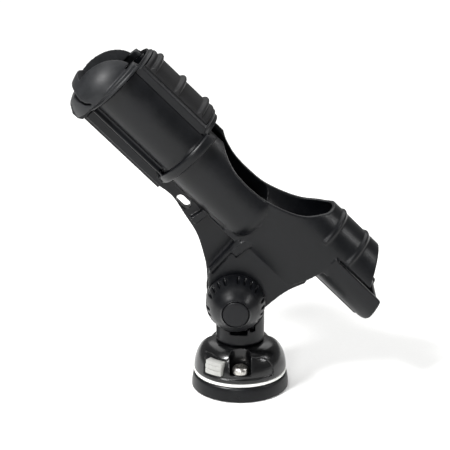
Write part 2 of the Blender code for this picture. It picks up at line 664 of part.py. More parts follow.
def build_nose(mats):
    """Front moulding with its two petals and lower lip."""
    a0 = NOSE_A
    centre = (-a0 - 2.0, 0.0, NOSE_U)
    nose = ball("nose_cap", centre, (NOSE_LONG, NOSE_R - 1.5, NOSE_R))
    cut(nose, tube_plate("half", [(a0 - 76.0, 20.0), (a0 + 3.2, 20.0), (a0 + 3.2, 180.0),
                                  (a0 - 76.0, 180.0)], FAR))
    flange = turned("flange", [
        (a0, 20.0), (a0, NOSE_R - 0.5), (a0 + 0.5, NOSE_R), (a0 + 4.0, NOSE_R),
        (a0 + 5.0, NOSE_R - 1.2), (a0 + 5.0, 20.0)], FRONT)
    join(nose, cut(flange, tips(NOSE_R, a0, a0 + 5.0)))
    join(nose, tube_plate("lip", [
        (a0, KEEL_U), (a0 + 3.0, KEEL_U - 2.0), (a0 + 8.0, KEEL_U - 2.3), (a0 + 13.0, KEEL_U + 0.9),
        (a0 + 15.6, KEEL_U + 6.4), (a0 + 14.6, KEEL_U + 15.5), (a0, KEEL_U + 15.5)],
        KEEL_HALF + 1.0))
    cut(nose, disc("bore", FRONT_R - WALL, a0 - 26.0, a0 + 5.8, FRONT))
    cut(nose, tube_plate("slot", [(a0 - 26.0, NOSE_SLOT_U), (a0 + 74.0, NOSE_SLOT_U),
                                  (a0 + 74.0, 180.0), (a0 - 26.0, 180.0)], SLOT_HALF))
    # gap under the petals, and the outline of the lip below it
    gap = [(5.0, 16.0), (7.6, 11.8), (12.0, 9.8), (16.6, 8.7), (15.6, 3.5), (12.6, -1.0),
           (10.0, -8.5), (36.0, -8.5), (36.0, 10.4), (12.4, 11.4), (8.6, 13.3), (6.0, 16.7)]
    cut(nose, tube_plate("lip_gap", [(a0 + a, KEEL_U + u) for a, u in gap], FAR))
    cut(nose, track_tool(a0 + 0.2))
    finish(nose, mats["nylon"], PIVOT, TILTED)


def build_collar(mats):
    """Locking collar that closes the top slot, with its ribbed grip."""
    a0, a1 = COLLAR_A
    low, high = TONGUE
    back, front = RING_A[1] - TONGUE_OUT, NOSE_A + 1.4
    collar = turned("locking_collar", [
        (a0, COLLAR_IN), (a0, low), (back, low), (back, high), (a0, high),
        (a0 + 0.1, COLLAR_OUT), (a1 - 0.1, COLLAR_OUT), (a1, high), (front, high), (front, low),
        (a1, low), (a1, COLLAR_IN)], FRONT, 48)
    grip_in = COLLAR_OUT + GAP
    a2, a3 = a0 + GRIP_MARGIN, a1 - GRIP_MARGIN
    profile = [(a2, grip_in), (a2, GRIP_OUT - 1.0), (a2 + 1.6, GRIP_OUT)]
    for share in (0.14, 0.505, 0.87):
        a = a2 + share * (a3 - a2)
        profile += [(a - GRIP_RIB_HALF, GRIP_OUT), (a - 1.4, GRIP_RIB_R - 0.5), (a, GRIP_RIB_R),
                    (a + 1.4, GRIP_RIB_R - 0.5), (a + GRIP_RIB_HALF, GRIP_OUT)]
    profile += [(a3 - 1.6, GRIP_OUT), (a3, GRIP_OUT - 1.0), (a3, grip_in)]
    grip = turned("collar_grip", profile, FRONT, 48)
    under = FRONT_U + math.sqrt(COLLAR_IN ** 2 - COLLAR_HALF ** 2) - 2.0
    for obj in (collar, grip):
        for side in (-1.0, 1.0):
            ends = sorted((side * COLLAR_HALF, side * (FAR + 1.0)))
            cut(obj, block("side", (-a1 - 20.0, 20.0 - a0), ends, (FRONT_U - FAR, FRONT_U + FAR)))
        cut(obj, block("under", (-a1 - 21.0, 21.0 - a0), (-FAR, FAR), (FRONT_U - FAR - 1.0, under)))
    axis = TILTED @ Vector((-sum(COLLAR_A) / 2, 0.0, FRONT_U))
    finish(collar, mats["nylon"], axis, TILTED)
    finish(grip, mats["grip"], axis, TILTED)


def build_bolt(mats):
    """Clamp bolt, its washer, the friction discs and the thrust washer."""
    washer_t = 1.6
    head = CHEEK_OUT + washer_t + 2 * GAP
    tip = KNOB_FRONT - CAP_T
    bolt = turned("pivot_bolt", [(-head, 0.0), (-head, BOLT_R), (tip - 0.8, BOLT_R),
                                 (tip, BOLT_R - 0.8), (tip, 0.0)], CLAMP, 24)
    head_half = 2.7
    hexagon = disc("head", 7.5, -head - 2 * head_half, 0.01 - head, CLAMP, 6)
    join(bolt, hexagon)
    finish(bolt, mats["steel"], PIVOT)
    inner = BOLT_R + GAP
    rings = (("bolt_washer", 8.5, -CHEEK_OUT - GAP - washer_t, -CHEEK_OUT - GAP, "steel"),
             ("friction_disc_near", DISC_R, EAR_HALF + GAP, EAR_HALF + GAP + DISC_T, "grip"),
             ("friction_disc_far", DISC_R, -EAR_HALF - GAP - DISC_T, -EAR_HALF - GAP, "grip"),
             ("knob_washer", WASHER_R, CHEEK_OUT + GAP, CHEEK_OUT + GAP + WASHER_T, "steel"))
    for name, radius, low, high, mat in rings:
        ring = turned(name, [(low, inner), (low, radius), (high, radius), (high, inner)], CLAMP)
        finish(ring, mats[mat], PIVOT)


def build_knob(mats):
    """Clamp knob with its finger slots, brass insert and cap."""
    back, front = KNOB_BACK, KNOB_FRONT
    bore = INSERT_R + GAP
    seat = CAP_R + GAP
    # the crown falls slowly from the rim, then rounds over to the cap
    crown = [(0.0, 0.065), (0.035, 0.014), (0.09, 0.0), (0.2, 0.025), (0.35, 0.08), (0.51, 0.155),
             (0.66, 0.25), (0.8, 0.365), (0.9, 0.46), (0.965, 0.51)]
    profile = [(back + deep * KNOB_DEEP, KNOB_R * (1.0 - fall)) for deep, fall in crown]
    knob = turned("tilt_knob", [(back, bore), *profile, (front, seat + 0.6), (front - 0.8, seat),
                                (front - CAP_T, seat), (front - CAP_T, bore)], CLAMP, 40)
    for group in range(KNOB_GROUPS):
        for slot in range(KNOB_SLOTS):
            angle = KNOB_FIRST + 360.0 / KNOB_GROUPS * group
            angle += KNOB_PITCH * (slot - (KNOB_SLOTS - 1) / 2)
            turn = Matrix.Translation(PIVOT) @ Matrix.Rotation(math.radians(-angle), 4, "Y")
            cut(knob, block("slot", (KNOB_R - 2.4, KNOB_R + 4.0), (-back - 9.6, -back - 4.4),
                            (-0.9, 0.9), turn))
    finish(knob, mats["nylon"], PIVOT)
    insert = turned("knob_insert", [(back + 0.4, BOLT_R + GAP), (back + 0.4, INSERT_R),
                                    (front - 5.0, INSERT_R), (front - 5.0, BOLT_R + GAP)],
                    CLAMP, 28)
    finish(insert, mats["brass"], PIVOT)
    cap = turned("knob_cap", [(front - CAP_T + 2.4, 0.0), (front - CAP_T + 0.4, 5.0),
                              (front - CAP_T + 0.4, CAP_R), (front - 0.2, CAP_R),
                              (front + 0.6, CAP_R - 1.0), (front + 0.8, 0.0)], CLAMP, 40)
    finish(cap, mats["nylon"], PIVOT)


def build():
    """Make every piece."""
    clear_scene()
    collection("rod_holder")
    cutters = collection("cutters")
    mats = {
        "nylon": material("moulded_nylon", (0.035, 0.037, 0.042), 0.5),
        "gloss": material("gloss_nylon", (0.012, 0.013, 0.015), 0.18),
        "grip": material("grip_rubber", (0.010, 0.010, 0.011), 0.75),
        "rubber": material("black_rubber", (0.015, 0.015, 0.015), 0.8),
        "seal": material("white_seal", (0.85, 0.85, 0.83), 0.45),
        "button": material("grey_button", (0.45, 0.46, 0.45), 0.45),
        "steel": material("stainless_steel", (0.60, 0.60, 0.58), 0.3, 1.0),
        "brass": material("brass", (0.60, 0.42, 0.16), 0.3, 1.0),
    }
    build_base(mats)
    build_release(mats)
    build_post(mats)
    build_holder(mats)
    build_nose(mats)
    build_collar(mats)
    build_bolt(mats)
    build_knob(mats)
    bpy.data.collections.remove(cutters)


build()
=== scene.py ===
"""Looks of a tilting rod holder on a quick-release swivel base.

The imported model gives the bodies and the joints. Every moulding that shows is
modelled again here with its fillets, lips and slots, and rides on its body.
Modelling is done in millimetres with the tube level; settle() tilts a piece
into place and turns it into metres.
"""

import logging
import math
from dataclasses import dataclass, field
from enum import Enum
from typing import Dict, Iterable, List, Optional, Sequence, Tuple

import bpy
from mathutils import Euler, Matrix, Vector


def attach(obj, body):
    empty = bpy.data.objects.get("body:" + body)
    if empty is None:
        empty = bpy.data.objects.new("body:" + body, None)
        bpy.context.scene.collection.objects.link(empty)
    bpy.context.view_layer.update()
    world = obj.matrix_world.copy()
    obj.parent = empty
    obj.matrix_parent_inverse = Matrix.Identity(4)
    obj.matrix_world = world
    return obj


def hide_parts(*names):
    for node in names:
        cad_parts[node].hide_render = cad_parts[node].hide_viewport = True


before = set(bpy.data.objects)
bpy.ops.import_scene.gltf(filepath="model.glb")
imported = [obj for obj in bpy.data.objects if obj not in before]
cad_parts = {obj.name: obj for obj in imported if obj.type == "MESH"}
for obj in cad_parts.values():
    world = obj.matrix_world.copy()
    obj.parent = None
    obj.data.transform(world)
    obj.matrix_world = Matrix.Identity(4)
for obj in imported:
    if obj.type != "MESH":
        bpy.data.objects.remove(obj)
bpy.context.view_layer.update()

LOG = logging.getLogger("rod_holder")
MM = 0.001
TILT = math.radians(45.0)
TRIANGLE_CAP = 185000

Point = Tuple[float, float]
Triple = Tuple[float, float, float]
Socket = bpy.types.NodeSocket
Tree = bpy.types.NodeTree


class Pose(Enum):
    """How a finished piece is turned from the way it was modelled."""

    UPRIGHT = 0.0
    TILTED = TILT


class Cut(Enum):
    """The two Booleans used here."""

    ADD = "UNION"
    TAKE = "DIFFERENCE"


# ---------------------------------------------------------------- modelling

def pick(*objs: bpy.types.Object) -> None:
    """Select only these objects, the first one active.

    Args:
        objs: The objects to select.
    """
    if bpy.context.object and bpy.context.object.mode != "OBJECT":
        bpy.ops.object.mode_set(mode="OBJECT")
    bpy.ops.object.select_all(action="DESELECT")
    for obj in objs:
        obj.select_set(True)
    bpy.context.view_layer.objects.active = objs[0]


def added(name: str) -> bpy.types.Object:
    """Name the primitive that was just added and apply its placing.

    Args:
        name: Name of the piece.

    Returns:
        The object, at the origin with its place in its mesh.
    """
    obj = bpy.context.object
    obj.name = name
    pick(obj)
    bpy.ops.object.transform_apply(location=True, rotation=True, scale=True)
    return obj


def apply_all(obj: bpy.types.Object) -> None:
    """Apply every modifier in order.

    Args:
        obj: The object whose modifiers are applied.
    """
    pick(obj)
    for name in [mod.name for mod in obj.modifiers]:
        bpy.ops.object.modifier_apply(modifier=name)


def weld(obj: bpy.types.Object, distance: float = 0.002) -> None:
    """Merge doubles and drop slivers, leaving the normals outwards.

    Args:
        obj: The object to clean.
        distance: Points closer than this, in mm, become one.
    """
    pick(obj)
    bpy.ops.object.mode_set(mode="EDIT")
    bpy.ops.mesh.select_all(action="SELECT")
    bpy.ops.mesh.remove_doubles(threshold=distance)
    bpy.ops.mesh.dissolve_degenerate(threshold=distance)
    bpy.ops.mesh.normals_make_consistent(inside=False)
    bpy.ops.object.mode_set(mode="OBJECT")


def chain(name: str, points: Sequence[Triple]) -> bpy.types.Object:
    """Draw a line of edges by extruding one vertex from point to point.

    Args:
        name: Name of the object.
        points: Corners in order.

    Returns:
        An object of loose edges.
    """
    bpy.ops.object.select_all(action="DESELECT")
    bpy.ops.mesh.primitive_plane_add(size=0.1)
    obj = added(name)
    bpy.ops.object.mode_set(mode="EDIT")
    bpy.ops.mesh.select_all(action="SELECT")
    bpy.ops.mesh.merge(type="CENTER")
    bpy.ops.transform.translate(value=points[0])
    for start, end in zip(points, points[1:]):
        step = tuple(e - s for s, e in zip(start, end))
        bpy.ops.mesh.extrude_region_move(TRANSFORM_OT_translate={"value": step})
    bpy.ops.object.mode_set(mode="OBJECT")
    return obj


def turned(name: str, profile: Sequence[Point], steps: int = 96,
           closed: bool = False) -> bpy.types.Object:
    """Turn a profile of (radius, height) points about Z.

    Args:
        name: Name of the piece.
        profile: Points down the section; the first and last lie on the axis
            unless the section is closed.
        steps: Facets round the turn.
        closed: True joins the last point to the first, for a ring.

    Returns:
        The turned solid.
    """
    points = [(r, 0.0, z) for r, z in profile]
    if closed:
        points.append(points[0])
    obj = chain(name, points)
    screw = obj.modifiers.new("turn", "SCREW")
    screw.steps = steps
    screw.render_steps = steps
    screw.use_merge_vertices = True
    screw.merge_threshold = 0.0001
    apply_all(obj)
    weld(obj, 0.0005)
    return obj


def plate(name: str, outline: Sequence[Point], y0: float, y1: float) -> bpy.types.Object:
    """Fill an outline in the XZ plane and extrude it along Y.

    Args:
        name: Name of the piece.
        outline: Corners as (x, z).
        y0: Start of the thickness.
        y1: End of the thickness.

    Returns:
        The flat solid.
    """
    points = [(x, y0, z) for x, z in outline]
    obj = chain(name, points + [points[0]])
    pick(obj)
    bpy.ops.object.mode_set(mode="EDIT")
    bpy.ops.mesh.select_all(action="SELECT")
    bpy.ops.mesh.remove_doubles(threshold=0.0005)
    bpy.ops.mesh.edge_face_add()
    bpy.ops.mesh.extrude_region_move(TRANSFORM_OT_translate={"value": (0.0, y1 - y0, 0.0)})
    bpy.ops.mesh.select_all(action="SELECT")
    bpy.ops.mesh.normals_make_consistent(inside=False)
    bpy.ops.object.mode_set(mode="OBJECT")
    return obj


def block(name: str, x: Point, y: Point, z: Point, turn: float = 0.0) -> bpy.types.Object:
    """Add a box between the ends of each range, then turn it about Z.

    Args:
        name: Name of the piece.
        x: Ends along X.
        y: Ends along Y.
        z: Ends along Z.
        turn: Turn about the world's Z axis, in radians.

    Returns:
        The box.
    """
    bpy.ops.object.select_all(action="DESELECT")
    bpy.ops.mesh.primitive_cube_add(size=1.0)
    obj = bpy.context.object
    obj.scale = (x[1] - x[0], y[1] - y[0], z[1] - z[0])
    obj.location = (sum(x) / 2, sum(y) / 2, sum(z) / 2)
    obj = added(name)
    obj.rotation_euler = (0.0, 0.0, turn)
    bpy.ops.object.transform_apply(rotation=True)
    return obj


def rod(name: str, radius: float, start: Triple, end: Triple,
        sides: int = 96) -> bpy.types.Object:
    """Add a cylinder between two points.

    Args:
        name: Name of the piece.
        radius: Its radius.
        start: Centre of one end.
        end: Centre of the other end.
        sides: Facets round it.

    Returns:
        The cylinder.
    """
    a, b = Vector(start), Vector(end)
    bpy.ops.object.select_all(action="DESELECT")
    bpy.ops.mesh.primitive_cylinder_add(vertices=sides, radius=radius, depth=(b - a).length)
    obj = bpy.context.object
    obj.rotation_euler = (b - a).to_track_quat("Z", "Y").to_euler()
    obj.location = (a + b) / 2
    return added(name)


def oval(name: str, half: Point, z: Point, sides: int = 96) -> bpy.types.Object:
    """Add an upright cylinder of oval section on the Z axis.

    Args:
        name: Name of the piece.
        half: Its half widths along X and Y.
        z: Heights of its two ends.
        sides: Facets round it.

    Returns:
        The cylinder.
    """
    bpy.ops.object.select_all(action="DESELECT")
    bpy.ops.mesh.primitive_cylinder_add(vertices=sides, radius=1.0, depth=z[1] - z[0])
    obj = bpy.context.object
    obj.scale = (half[0], half[1], 1.0)
    obj.location = (0.0, 0.0, sum(z) / 2)
    return added(name)


def ball(name: str, centre: Triple, radii: Triple, segments: int = 64) -> bpy.types.Object:
    """Add an ellipsoid.

    Args:
        name: Name of the piece.
        centre: Its centre.
        radii: Its three half axes.
        segments: Facets round it.

    Returns:
        The ellipsoid.
    """
    bpy.ops.object.select_all(action="DESELECT")
    bpy.ops.mesh.primitive_uv_sphere_add(segments=segments, ring_count=segments // 2)
    obj = bpy.context.object
    obj.scale = radii
    obj.location = centre
    return added(name)


def moved(obj: bpy.types.Object, turn: Triple, place: Triple) -> bpy.types.Object:
    """Turn a piece about the origin, shift it and apply both.

    Args:
        obj: The piece.
        turn: Euler angles.
        place: Where its origin goes.

    Returns:
        The same piece.
    """
    pick(obj)
    obj.rotation_euler = turn
    obj.location = place
    bpy.ops.object.transform_apply(location=True, rotation=True)
    return obj


def combine(target: bpy.types.Object, mode: Cut, tools: Iterable[bpy.types.Object]) -> None:
    """Add tools to a piece or take them away from it, one at a time.

    Args:
        target: The piece that is kept.
        mode: ADD or TAKE.
        tools: Solids that are used up.
    """
    for tool in tools:
        mod = target.modifiers.new(mode.name, "BOOLEAN")
        mod.operation = mode.value
        mod.solver = "EXACT"
        mod.object = tool
        apply_all(target)
        weld(target)
        bpy.data.objects.remove(tool, do_unlink=True)


def moulded(obj: bpy.types.Object, voxel: float, passes: int = 4) -> None:
    """Give a piece the small radii of a moulding on all its edges.

    The piece is remeshed in even cells, then smoothed, which rounds every edge
    and fills every inside corner by about one cell.

    Args:
        obj: The piece.
        voxel: Cell size in mm.
        passes: Smoothing passes.
    """
    remesh = obj.modifiers.new("cells", "REMESH")
    remesh.mode = "VOXEL"
    remesh.voxel_size = voxel
    remesh.adaptivity = 0.0
    soften = obj.modifiers.new("soften", "SMOOTH")
    soften.factor = 0.5
    soften.iterations = passes
    apply_all(obj)
    triangles = sum(len(face.vertices) - 2 for face in obj.data.polygons)
    if triangles > TRIANGLE_CAP:
        thin = obj.modifiers.new("thin", "DECIMATE")
        thin.ratio = TRIANGLE_CAP / triangles
        apply_all(obj)
    pick(obj)
    bpy.ops.object.shade_smooth()


def bevelled(obj: bpy.types.Object, width: float, segments: int = 3,
             angle: float = 30.0) -> None:
    """Round the sharp edges of a simple piece and shade it smooth.

    Args:
        obj: The piece.
        width: Width of the round in mm.
        segments: Facets across it.
        angle: Edges sharper than this, in degrees, are rounded.
    """
    bevel = obj.modifiers.new("round", "BEVEL")
    bevel.width = width
    bevel.segments = segments
    bevel.limit_method = "ANGLE"
    bevel.angle_limit = math.radians(angle)
    bevel.harden_normals = False
    apply_all(obj)
    pick(obj)
    bpy.ops.object.shade_smooth_by_angle(angle=math.radians(35.0))


def settle(obj: bpy.types.Object, pose: Pose = Pose.UPRIGHT) -> None:
    """Tilt a piece into place and turn its millimetres into metres.

    Args:
        obj: The piece.
        pose: Whether it was modelled level on the tube.
    """
    pick(obj)
    obj.rotation_euler = (0.0, pose.value, 0.0)
    obj.scale = (MM, MM, MM)
    bpy.ops.object.transform_apply(rotation=True, scale=True)


def curve_through(points: Sequence[Point], steps: int = 6) -> List[Point]:
    """Points of a smooth curve through a few given ones.

    Args:
        points: The given points, in order.
        steps: Pieces between two of them.

    Returns:
        The points of a Catmull-Rom curve, both ends included.
    """
    ends = [points[0], *points, points[-1]]
    out: List[Point] = []
    for p, q, r, s in zip(ends, ends[1:], ends[2:], ends[3:]):
        for i in range(steps):
            t = i / steps
            out.append(tuple(
                0.5 * (2 * b + (c - a) * t + (2 * a - 5 * b + 4 * c - d) * t * t
                       + (3 * b - a - 3 * c + d) * t ** 3)
                for a, b, c, d in zip(p, q, r, s)))
    out.append(points[-1])
    return out


def to_level(x: float, z: float) -> Point:
    """A point of the tilted XZ plane, as drawn with the tube level."""
    return (x - z) * math.sqrt(0.5), (x + z) * math.sqrt(0.5)


# ----------------------------------------------------------------- finishes

def linear(code: str) -> Tuple[float, float, float, float]:
    """Turn an sRGB hex colour into linear RGBA.

    Args:
        code: Six hex digits after a #.

    Returns:
        Linear red, green, blue and an alpha of 1.
    """
    parts = [int(code[i:i + 2], 16) / 255.0 for i in (1, 3, 5)]
    bent = [c / 12.92 if c <= 0.04045 else ((c + 0.055) / 1.055) ** 2.4 for c in parts]
    return bent[0], bent[1], bent[2], 1.0


def per_metre(size_mm: float) -> float:
    """Pattern scale that makes one cell this many millimetres wide."""
    return 1.0 / (size_mm * MM)


def add(tree: Tree, kind: str, settings: Optional[Dict] = None,
        links: Optional[Dict] = None) -> bpy.types.Node:
    """Add a node with its settings and its incoming links.

    Args:
        tree: The material's node tree.
        kind: Node type, without ShaderNode.
        settings: Socket defaults by socket name or number, and node properties.
        links: Output sockets by the input they feed.

    Returns:
        The node.
    """
    node = tree.nodes.new("ShaderNode" + kind)
    for key, value in (settings or {}).items():
        if isinstance(key, int) or key in node.inputs:
            node.inputs[key].default_value = value
        else:
            setattr(node, key, value)
    for key, socket in (links or {}).items():
        tree.links.new(socket, node.inputs[key])
    return node


@dataclass(frozen=True)
class Finish:
    """A surface: its colour, its gloss and the grain it was given.

    The grain is two noises. The fine one is the texture of the mould or the
    tool; the broad one is flow, handling and dust, and moves the colour and
    the gloss a little.
    """

    name: str
    colour: str
    shade: str
    roughness: float
    roughness_spread: float = 0.06
    metallic: float = 0.0
    ior: float = 1.5
    coat: float = 0.0
    grain_mm: float = 0.9
    grain_depth_mm: float = 0.02
    blotch_mm: float = 18.0
    stretch: Triple = (1.0, 1.0, 1.0)

    def material(self) -> bpy.types.Material:
        """Build the node material.

        Returns:
            The material, reading only Object coordinates.
        """
        mat = bpy.data.materials.new(self.name)
        mat.use_nodes = True
        mat.diffuse_color = linear(self.colour)
        tree = mat.node_tree
        tree.nodes.clear()
        place = add(tree, "TexCoord")
        stretched = add(tree, "Mapping", {"Scale": self.stretch}, {"Vector": place.outputs["Object"]})
        grain = add(tree, "TexNoise", {"Scale": per_metre(self.grain_mm), "Detail": 3.0, "Roughness": 0.6},
                    {"Vector": stretched.outputs["Vector"]})
        blotch = add(tree, "TexNoise", {"Scale": per_metre(self.blotch_mm), "Detail": 5.0,
                                        "Roughness": 0.55}, {"Vector": place.outputs["Object"]})
        speck = add(tree, "TexNoise", {"Scale": per_metre(2.2), "Detail": 4.0},
                    {"Vector": place.outputs["Object"]})
        mixed = add(tree, "Math", {"operation": "MULTIPLY_ADD", 1: 0.65},
                    {0: blotch.outputs["Fac"]})
        weaker = add(tree, "Math", {"operation": "MULTIPLY", 1: 0.35}, {0: speck.outputs["Fac"]})
        tree.links.new(weaker.outputs[0], mixed.inputs[2])
        colours = add(tree, "ValToRGB", {}, {"Fac": mixed.outputs[0]})
        colours.color_ramp.elements[0].position = 0.36
        colours.color_ramp.elements[0].color = linear(self.shade)
        colours.color_ramp.elements[1].position = 0.64
        colours.color_ramp.elements[1].color = linear(self.colour)
        gloss = add(tree, "MapRange", {"From Min": 0.35, "From Max": 0.65,
                                       "To Min": self.roughness - self.roughness_spread,
                                       "To Max": self.roughness + self.roughness_spread},
                    {"Value": mixed.outputs[0]})
        relief = add(tree, "Bump", {"Strength": 0.6, "Distance": self.grain_depth_mm * MM},
                     {"Height": grain.outputs["Fac"]})
        settings = {"Metallic": self.metallic, "Coat Weight": self.coat, "Coat Roughness": 0.08}
        if not self.metallic:
            settings["IOR"] = self.ior
        shader = add(tree, "BsdfPrincipled", settings,
                     {"Base Color": colours.outputs["Color"], "Roughness": gloss.outputs["Result"],
                      "Normal": relief.outputs["Normal"]})
        add(tree, "OutputMaterial", {}, {"Surface": shader.outputs["BSDF"]})
        return mat


# Glass-filled nylon from a spark-eroded mould: charcoal, satin, a fine even grain.
MOULDED_NYLON = Finish("glass_filled_nylon", "#090a0d", "#050608", 0.36, grain_mm=0.8,
                       grain_depth_mm=0.06, ior=1.31)
# The same nylon made lighter grey for the nose: painted light, standing in for light falling on the nose
# and into the hollow between its petals. It is also duller.
NOSE_NYLON_PAINTED_LIGHT = Finish("nose_nylon_painted_light", "#1d1e20", "#131416", 0.47, grain_mm=0.8,
                      grain_depth_mm=0.07, ior=1.32, blotch_mm=9.0)
# The same nylon from a polished mould: near black, wet-looking highlights.
POLISHED_NYLON = Finish("polished_nylon", "#090a0b", "#050506", 0.22, 0.04, grain_mm=1.6,
                        grain_depth_mm=0.006, ior=1.45)
# Soft rubber pad: dead matt black that eats the light.
GRIP_RUBBER = Finish("soft_grip_rubber", "#0b0b0d", "#060607", 0.50, grain_mm=0.7, grain_depth_mm=0.03,
                     ior=1.32)
# Seal rubber, hidden in its grooves.
SEAL_RUBBER = Finish("seal_rubber", "#151515", "#0f0f0f", 0.6, grain_mm=1.2)
# White nylon ring between the foot and the dome: clean, slightly waxy.
WHITE_SEAL = Finish("white_seal_ring", "#f1f1ee", "#e2e2dd", 0.35, grain_mm=1.5, grain_depth_mm=0.01)
# Acetal button: light grey, waxy.
GREY_ACETAL = Finish("grey_acetal", "#a2a29f", "#8c8c89", 0.42, grain_mm=0.8, grain_depth_mm=0.06,
                     ior=1.48)
# Stainless steel turned and tumbled: bright with faint circular tooling.
STAINLESS = Finish("tumbled_stainless", "#bdbbb6", "#9a9894", 0.34, 0.08, 1.0, grain_mm=0.5,
                   grain_depth_mm=0.006, blotch_mm=5.0)
# Turned brass insert.
BRASS = Finish("turned_brass", "#c7a25a", "#a8843f", 0.28, 0.08, 1.0, grain_mm=0.5, blotch_mm=5.0)


def dress(obj: bpy.types.Object, mat: bpy.types.Material) -> None:
    """Give every face of an object one material.

    Args:
        obj: A new piece or a CAD node.
        mat: The material.
    """
    obj.data.materials.clear()
    obj.data.materials.append(mat)
    for face in obj.data.polygons:
        face.material_index = 0


def hand_over(obj: bpy.types.Object, body: str, slot: str, nodes: Sequence[str],
              mat: bpy.types.Material) -> None:
    """Dress a finished piece and tell the frame what it stands for.

    Args:
        obj: The piece.
        body: The body it rides on.
        slot: Name of a material slot; not used.
        nodes: CAD nodes it replaces.
        mat: Its material.
    """
    dress(obj, mat)
    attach(obj, body)
    if nodes:
        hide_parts(*nodes)
    LOG.info("%s: %d faces on %s", obj.name, len(obj.data.polygons), body)


Materials = Dict[str, bpy.types.Material]


# --------------------------------------------------------------------- base

@dataclass
class Base:
    """Foot, white seal ring, dome with its pockets, screws and button."""

    foot_h: float = 11.0
    socket_r: float = 14.4
    ring_z: Point = (11.3, 13.5)
    dome_z: float = 13.8
    dome_r: float = 34.3
    dome_top: float = 36.5
    neck_r: float = 18.2
    screw_circle: float = 26.5
    screws: int = 3
    screw_seat: float = 20.0
    head_r: float = 6.2
    head_h: float = 5.6
    pocket_half: Point = (7.9, 6.9)
    button_angle: float = math.radians(36.0)
    button_w: float = 14.0
    button_z: Point = (19.0, 28.8)
    panel_depth: float = 1.0

    def screw_turn(self, number: int) -> float:
        """Turn of a screw's place about Z, the first one at the front."""
        return 2.0 * math.pi * (number - 1) / self.screws

    def at_screw(self, part: bpy.types.Object, number: int, spin: float = 0.0) -> bpy.types.Object:
        """Move a piece made on the Z axis to a screw's place.

        Args:
            part: The piece.
            number: 1 for the screw at the front, then round.
            spin: Extra turn of the piece about its own axis.

        Returns:
            The same piece.
        """
        turn = self.screw_turn(number)
        place = (self.screw_circle * math.sin(turn), -self.screw_circle * math.cos(turn), 0.0)
        return moved(part, (0.0, 0.0, turn + spin), place)

    def foot(self) -> bpy.types.Object:
        """Turn the foot and cut its socket, gasket groove and front seam."""
        foot = turned("deck_foot", [
            (0.0, 0.0), (35.3, 0.0), (35.9, 0.5), (36.0, 1.4), (35.85, 4.0), (35.5, 7.0), (35.0, 9.4),
            (34.6, 10.4), (33.8, self.foot_h), (self.socket_r, self.foot_h), (self.socket_r, 6.0),
            (0.0, 6.0)], 160)
        groove = turned("groove", [(29.7, -1.0), (33.3, -1.0), (33.3, 1.8), (29.7, 1.8)], 96, True)
        tools = [groove]
        for number in range(1, self.screws + 1):
            tools.append(self.at_screw(oval("hole", (2.8, 2.8), (-2.0, 20.0), 32), number))
        for x in (-2.6, -0.9):
            tools.append(block("seam", (x, x + 0.45), (-40.0, -35.3), (-1.0, 10.0)))
        combine(foot, Cut.TAKE, tools)
        bevelled(foot, 0.25, 2, 40.0)
        return foot

    def dome_outline(self, inset: float = 0.0) -> List[Point]:
        """Outer section of the dome, from its lip to the neck."""
        points = []
        for i in range(19):
            t = math.radians(90.0) * i / 18
            r = self.neck_r + (self.dome_r - self.neck_r) * math.cos(t) ** 0.92
            z = 15.0 + (self.dome_top - 15.0) * math.sin(t) ** 1.04
            points.append((r - inset * math.cos(t), z - inset * math.sin(t)))
        return points

    def dome(self) -> bpy.types.Object:
        """Turn the dome, then cut its pockets, front panel and button hole."""
        rest = [(self.socket_r, self.dome_top), (self.socket_r, self.ring_z[0]),
                (30.2, self.ring_z[0]), (30.2, self.dome_z), (self.dome_r - 0.5, self.dome_z)]
        dome = turned("socket_dome", rest + self.dome_outline(), 144, True)
        # the shallow front panel with its wavy upper edge
        wave = curve_through([(-25.5, 31.6), (-20.5, 31.9), (-15.0, 30.6), (-10.6, 30.4), (-6.5, 33.0),
                              (-2.6, 35.2), (2.2, 35.2), (6.2, 33.4), (10.5, 31.9), (16.0, 31.0),
                              (20.4, 28.4), (23.4, 24.0), (24.4, 19.6)])
        panel = plate("panel", wave + [(24.0, 17.0), (-27.0, 17.0)], -60.0, -2.0)
        core = turned("core", [(0.0, 5.0), (self.dome_r - self.panel_depth, 5.0),
                               *self.dome_outline(self.panel_depth), (0.0, self.dome_top - 0.2)], 144)
        combine(panel, Cut.TAKE, [core])
        tools = [panel]
        wide = self.pocket_half[0] - 0.05
        for number in range(1, self.screws + 1):
            pocket = oval("pocket", self.pocket_half, (self.screw_seat, 60.0), 64)
            tools.append(self.at_screw(pocket, number))
            tools.append(block("mouth", (-wide, wide), (-50.0, -self.screw_circle),
                               (self.screw_seat, 60.0), self.screw_turn(number)))
            tools.append(self.at_screw(oval("hole", (2.8, 2.8), (0.0, 30.0), 32), number))
        half = self.button_w / 2 + 0.4
        low, high = self.button_z
        aim = -self.button_angle
        tools.append(block("button_room", (-half, half), (-45.0, -21.0), (low - 0.4, high + 0.4), aim))
        tools.append(block("stem_room", (-6.4, 6.4), (-28.5, -20.6), (10.0, 22.0), aim))
        tools.append(block("arm_room", (-6.5, 6.5), (-28.6, -10.0), (9.9, 14.5), aim))
        tools.append(rod("plate_room", 19.2, (-0.5, -0.7, 9.8), (-0.5, -0.7, 14.4)))
        combine(dome, Cut.TAKE, tools)
        moulded(dome, 0.42, 1)
        return dome

    def seal(self) -> bpy.types.Object:
        """Turn the white ring with its rounded rim."""
        low, high = self.ring_z
        rim = [(33.6 + 0.65 * math.sin(math.radians(a)), (low + high) / 2 - 1.1 * math.cos(math.radians(a)))
               for a in range(0, 181, 20)]
        return turned("seal_band", [(30.6, low), *rim, (30.6, high)], 160, True)

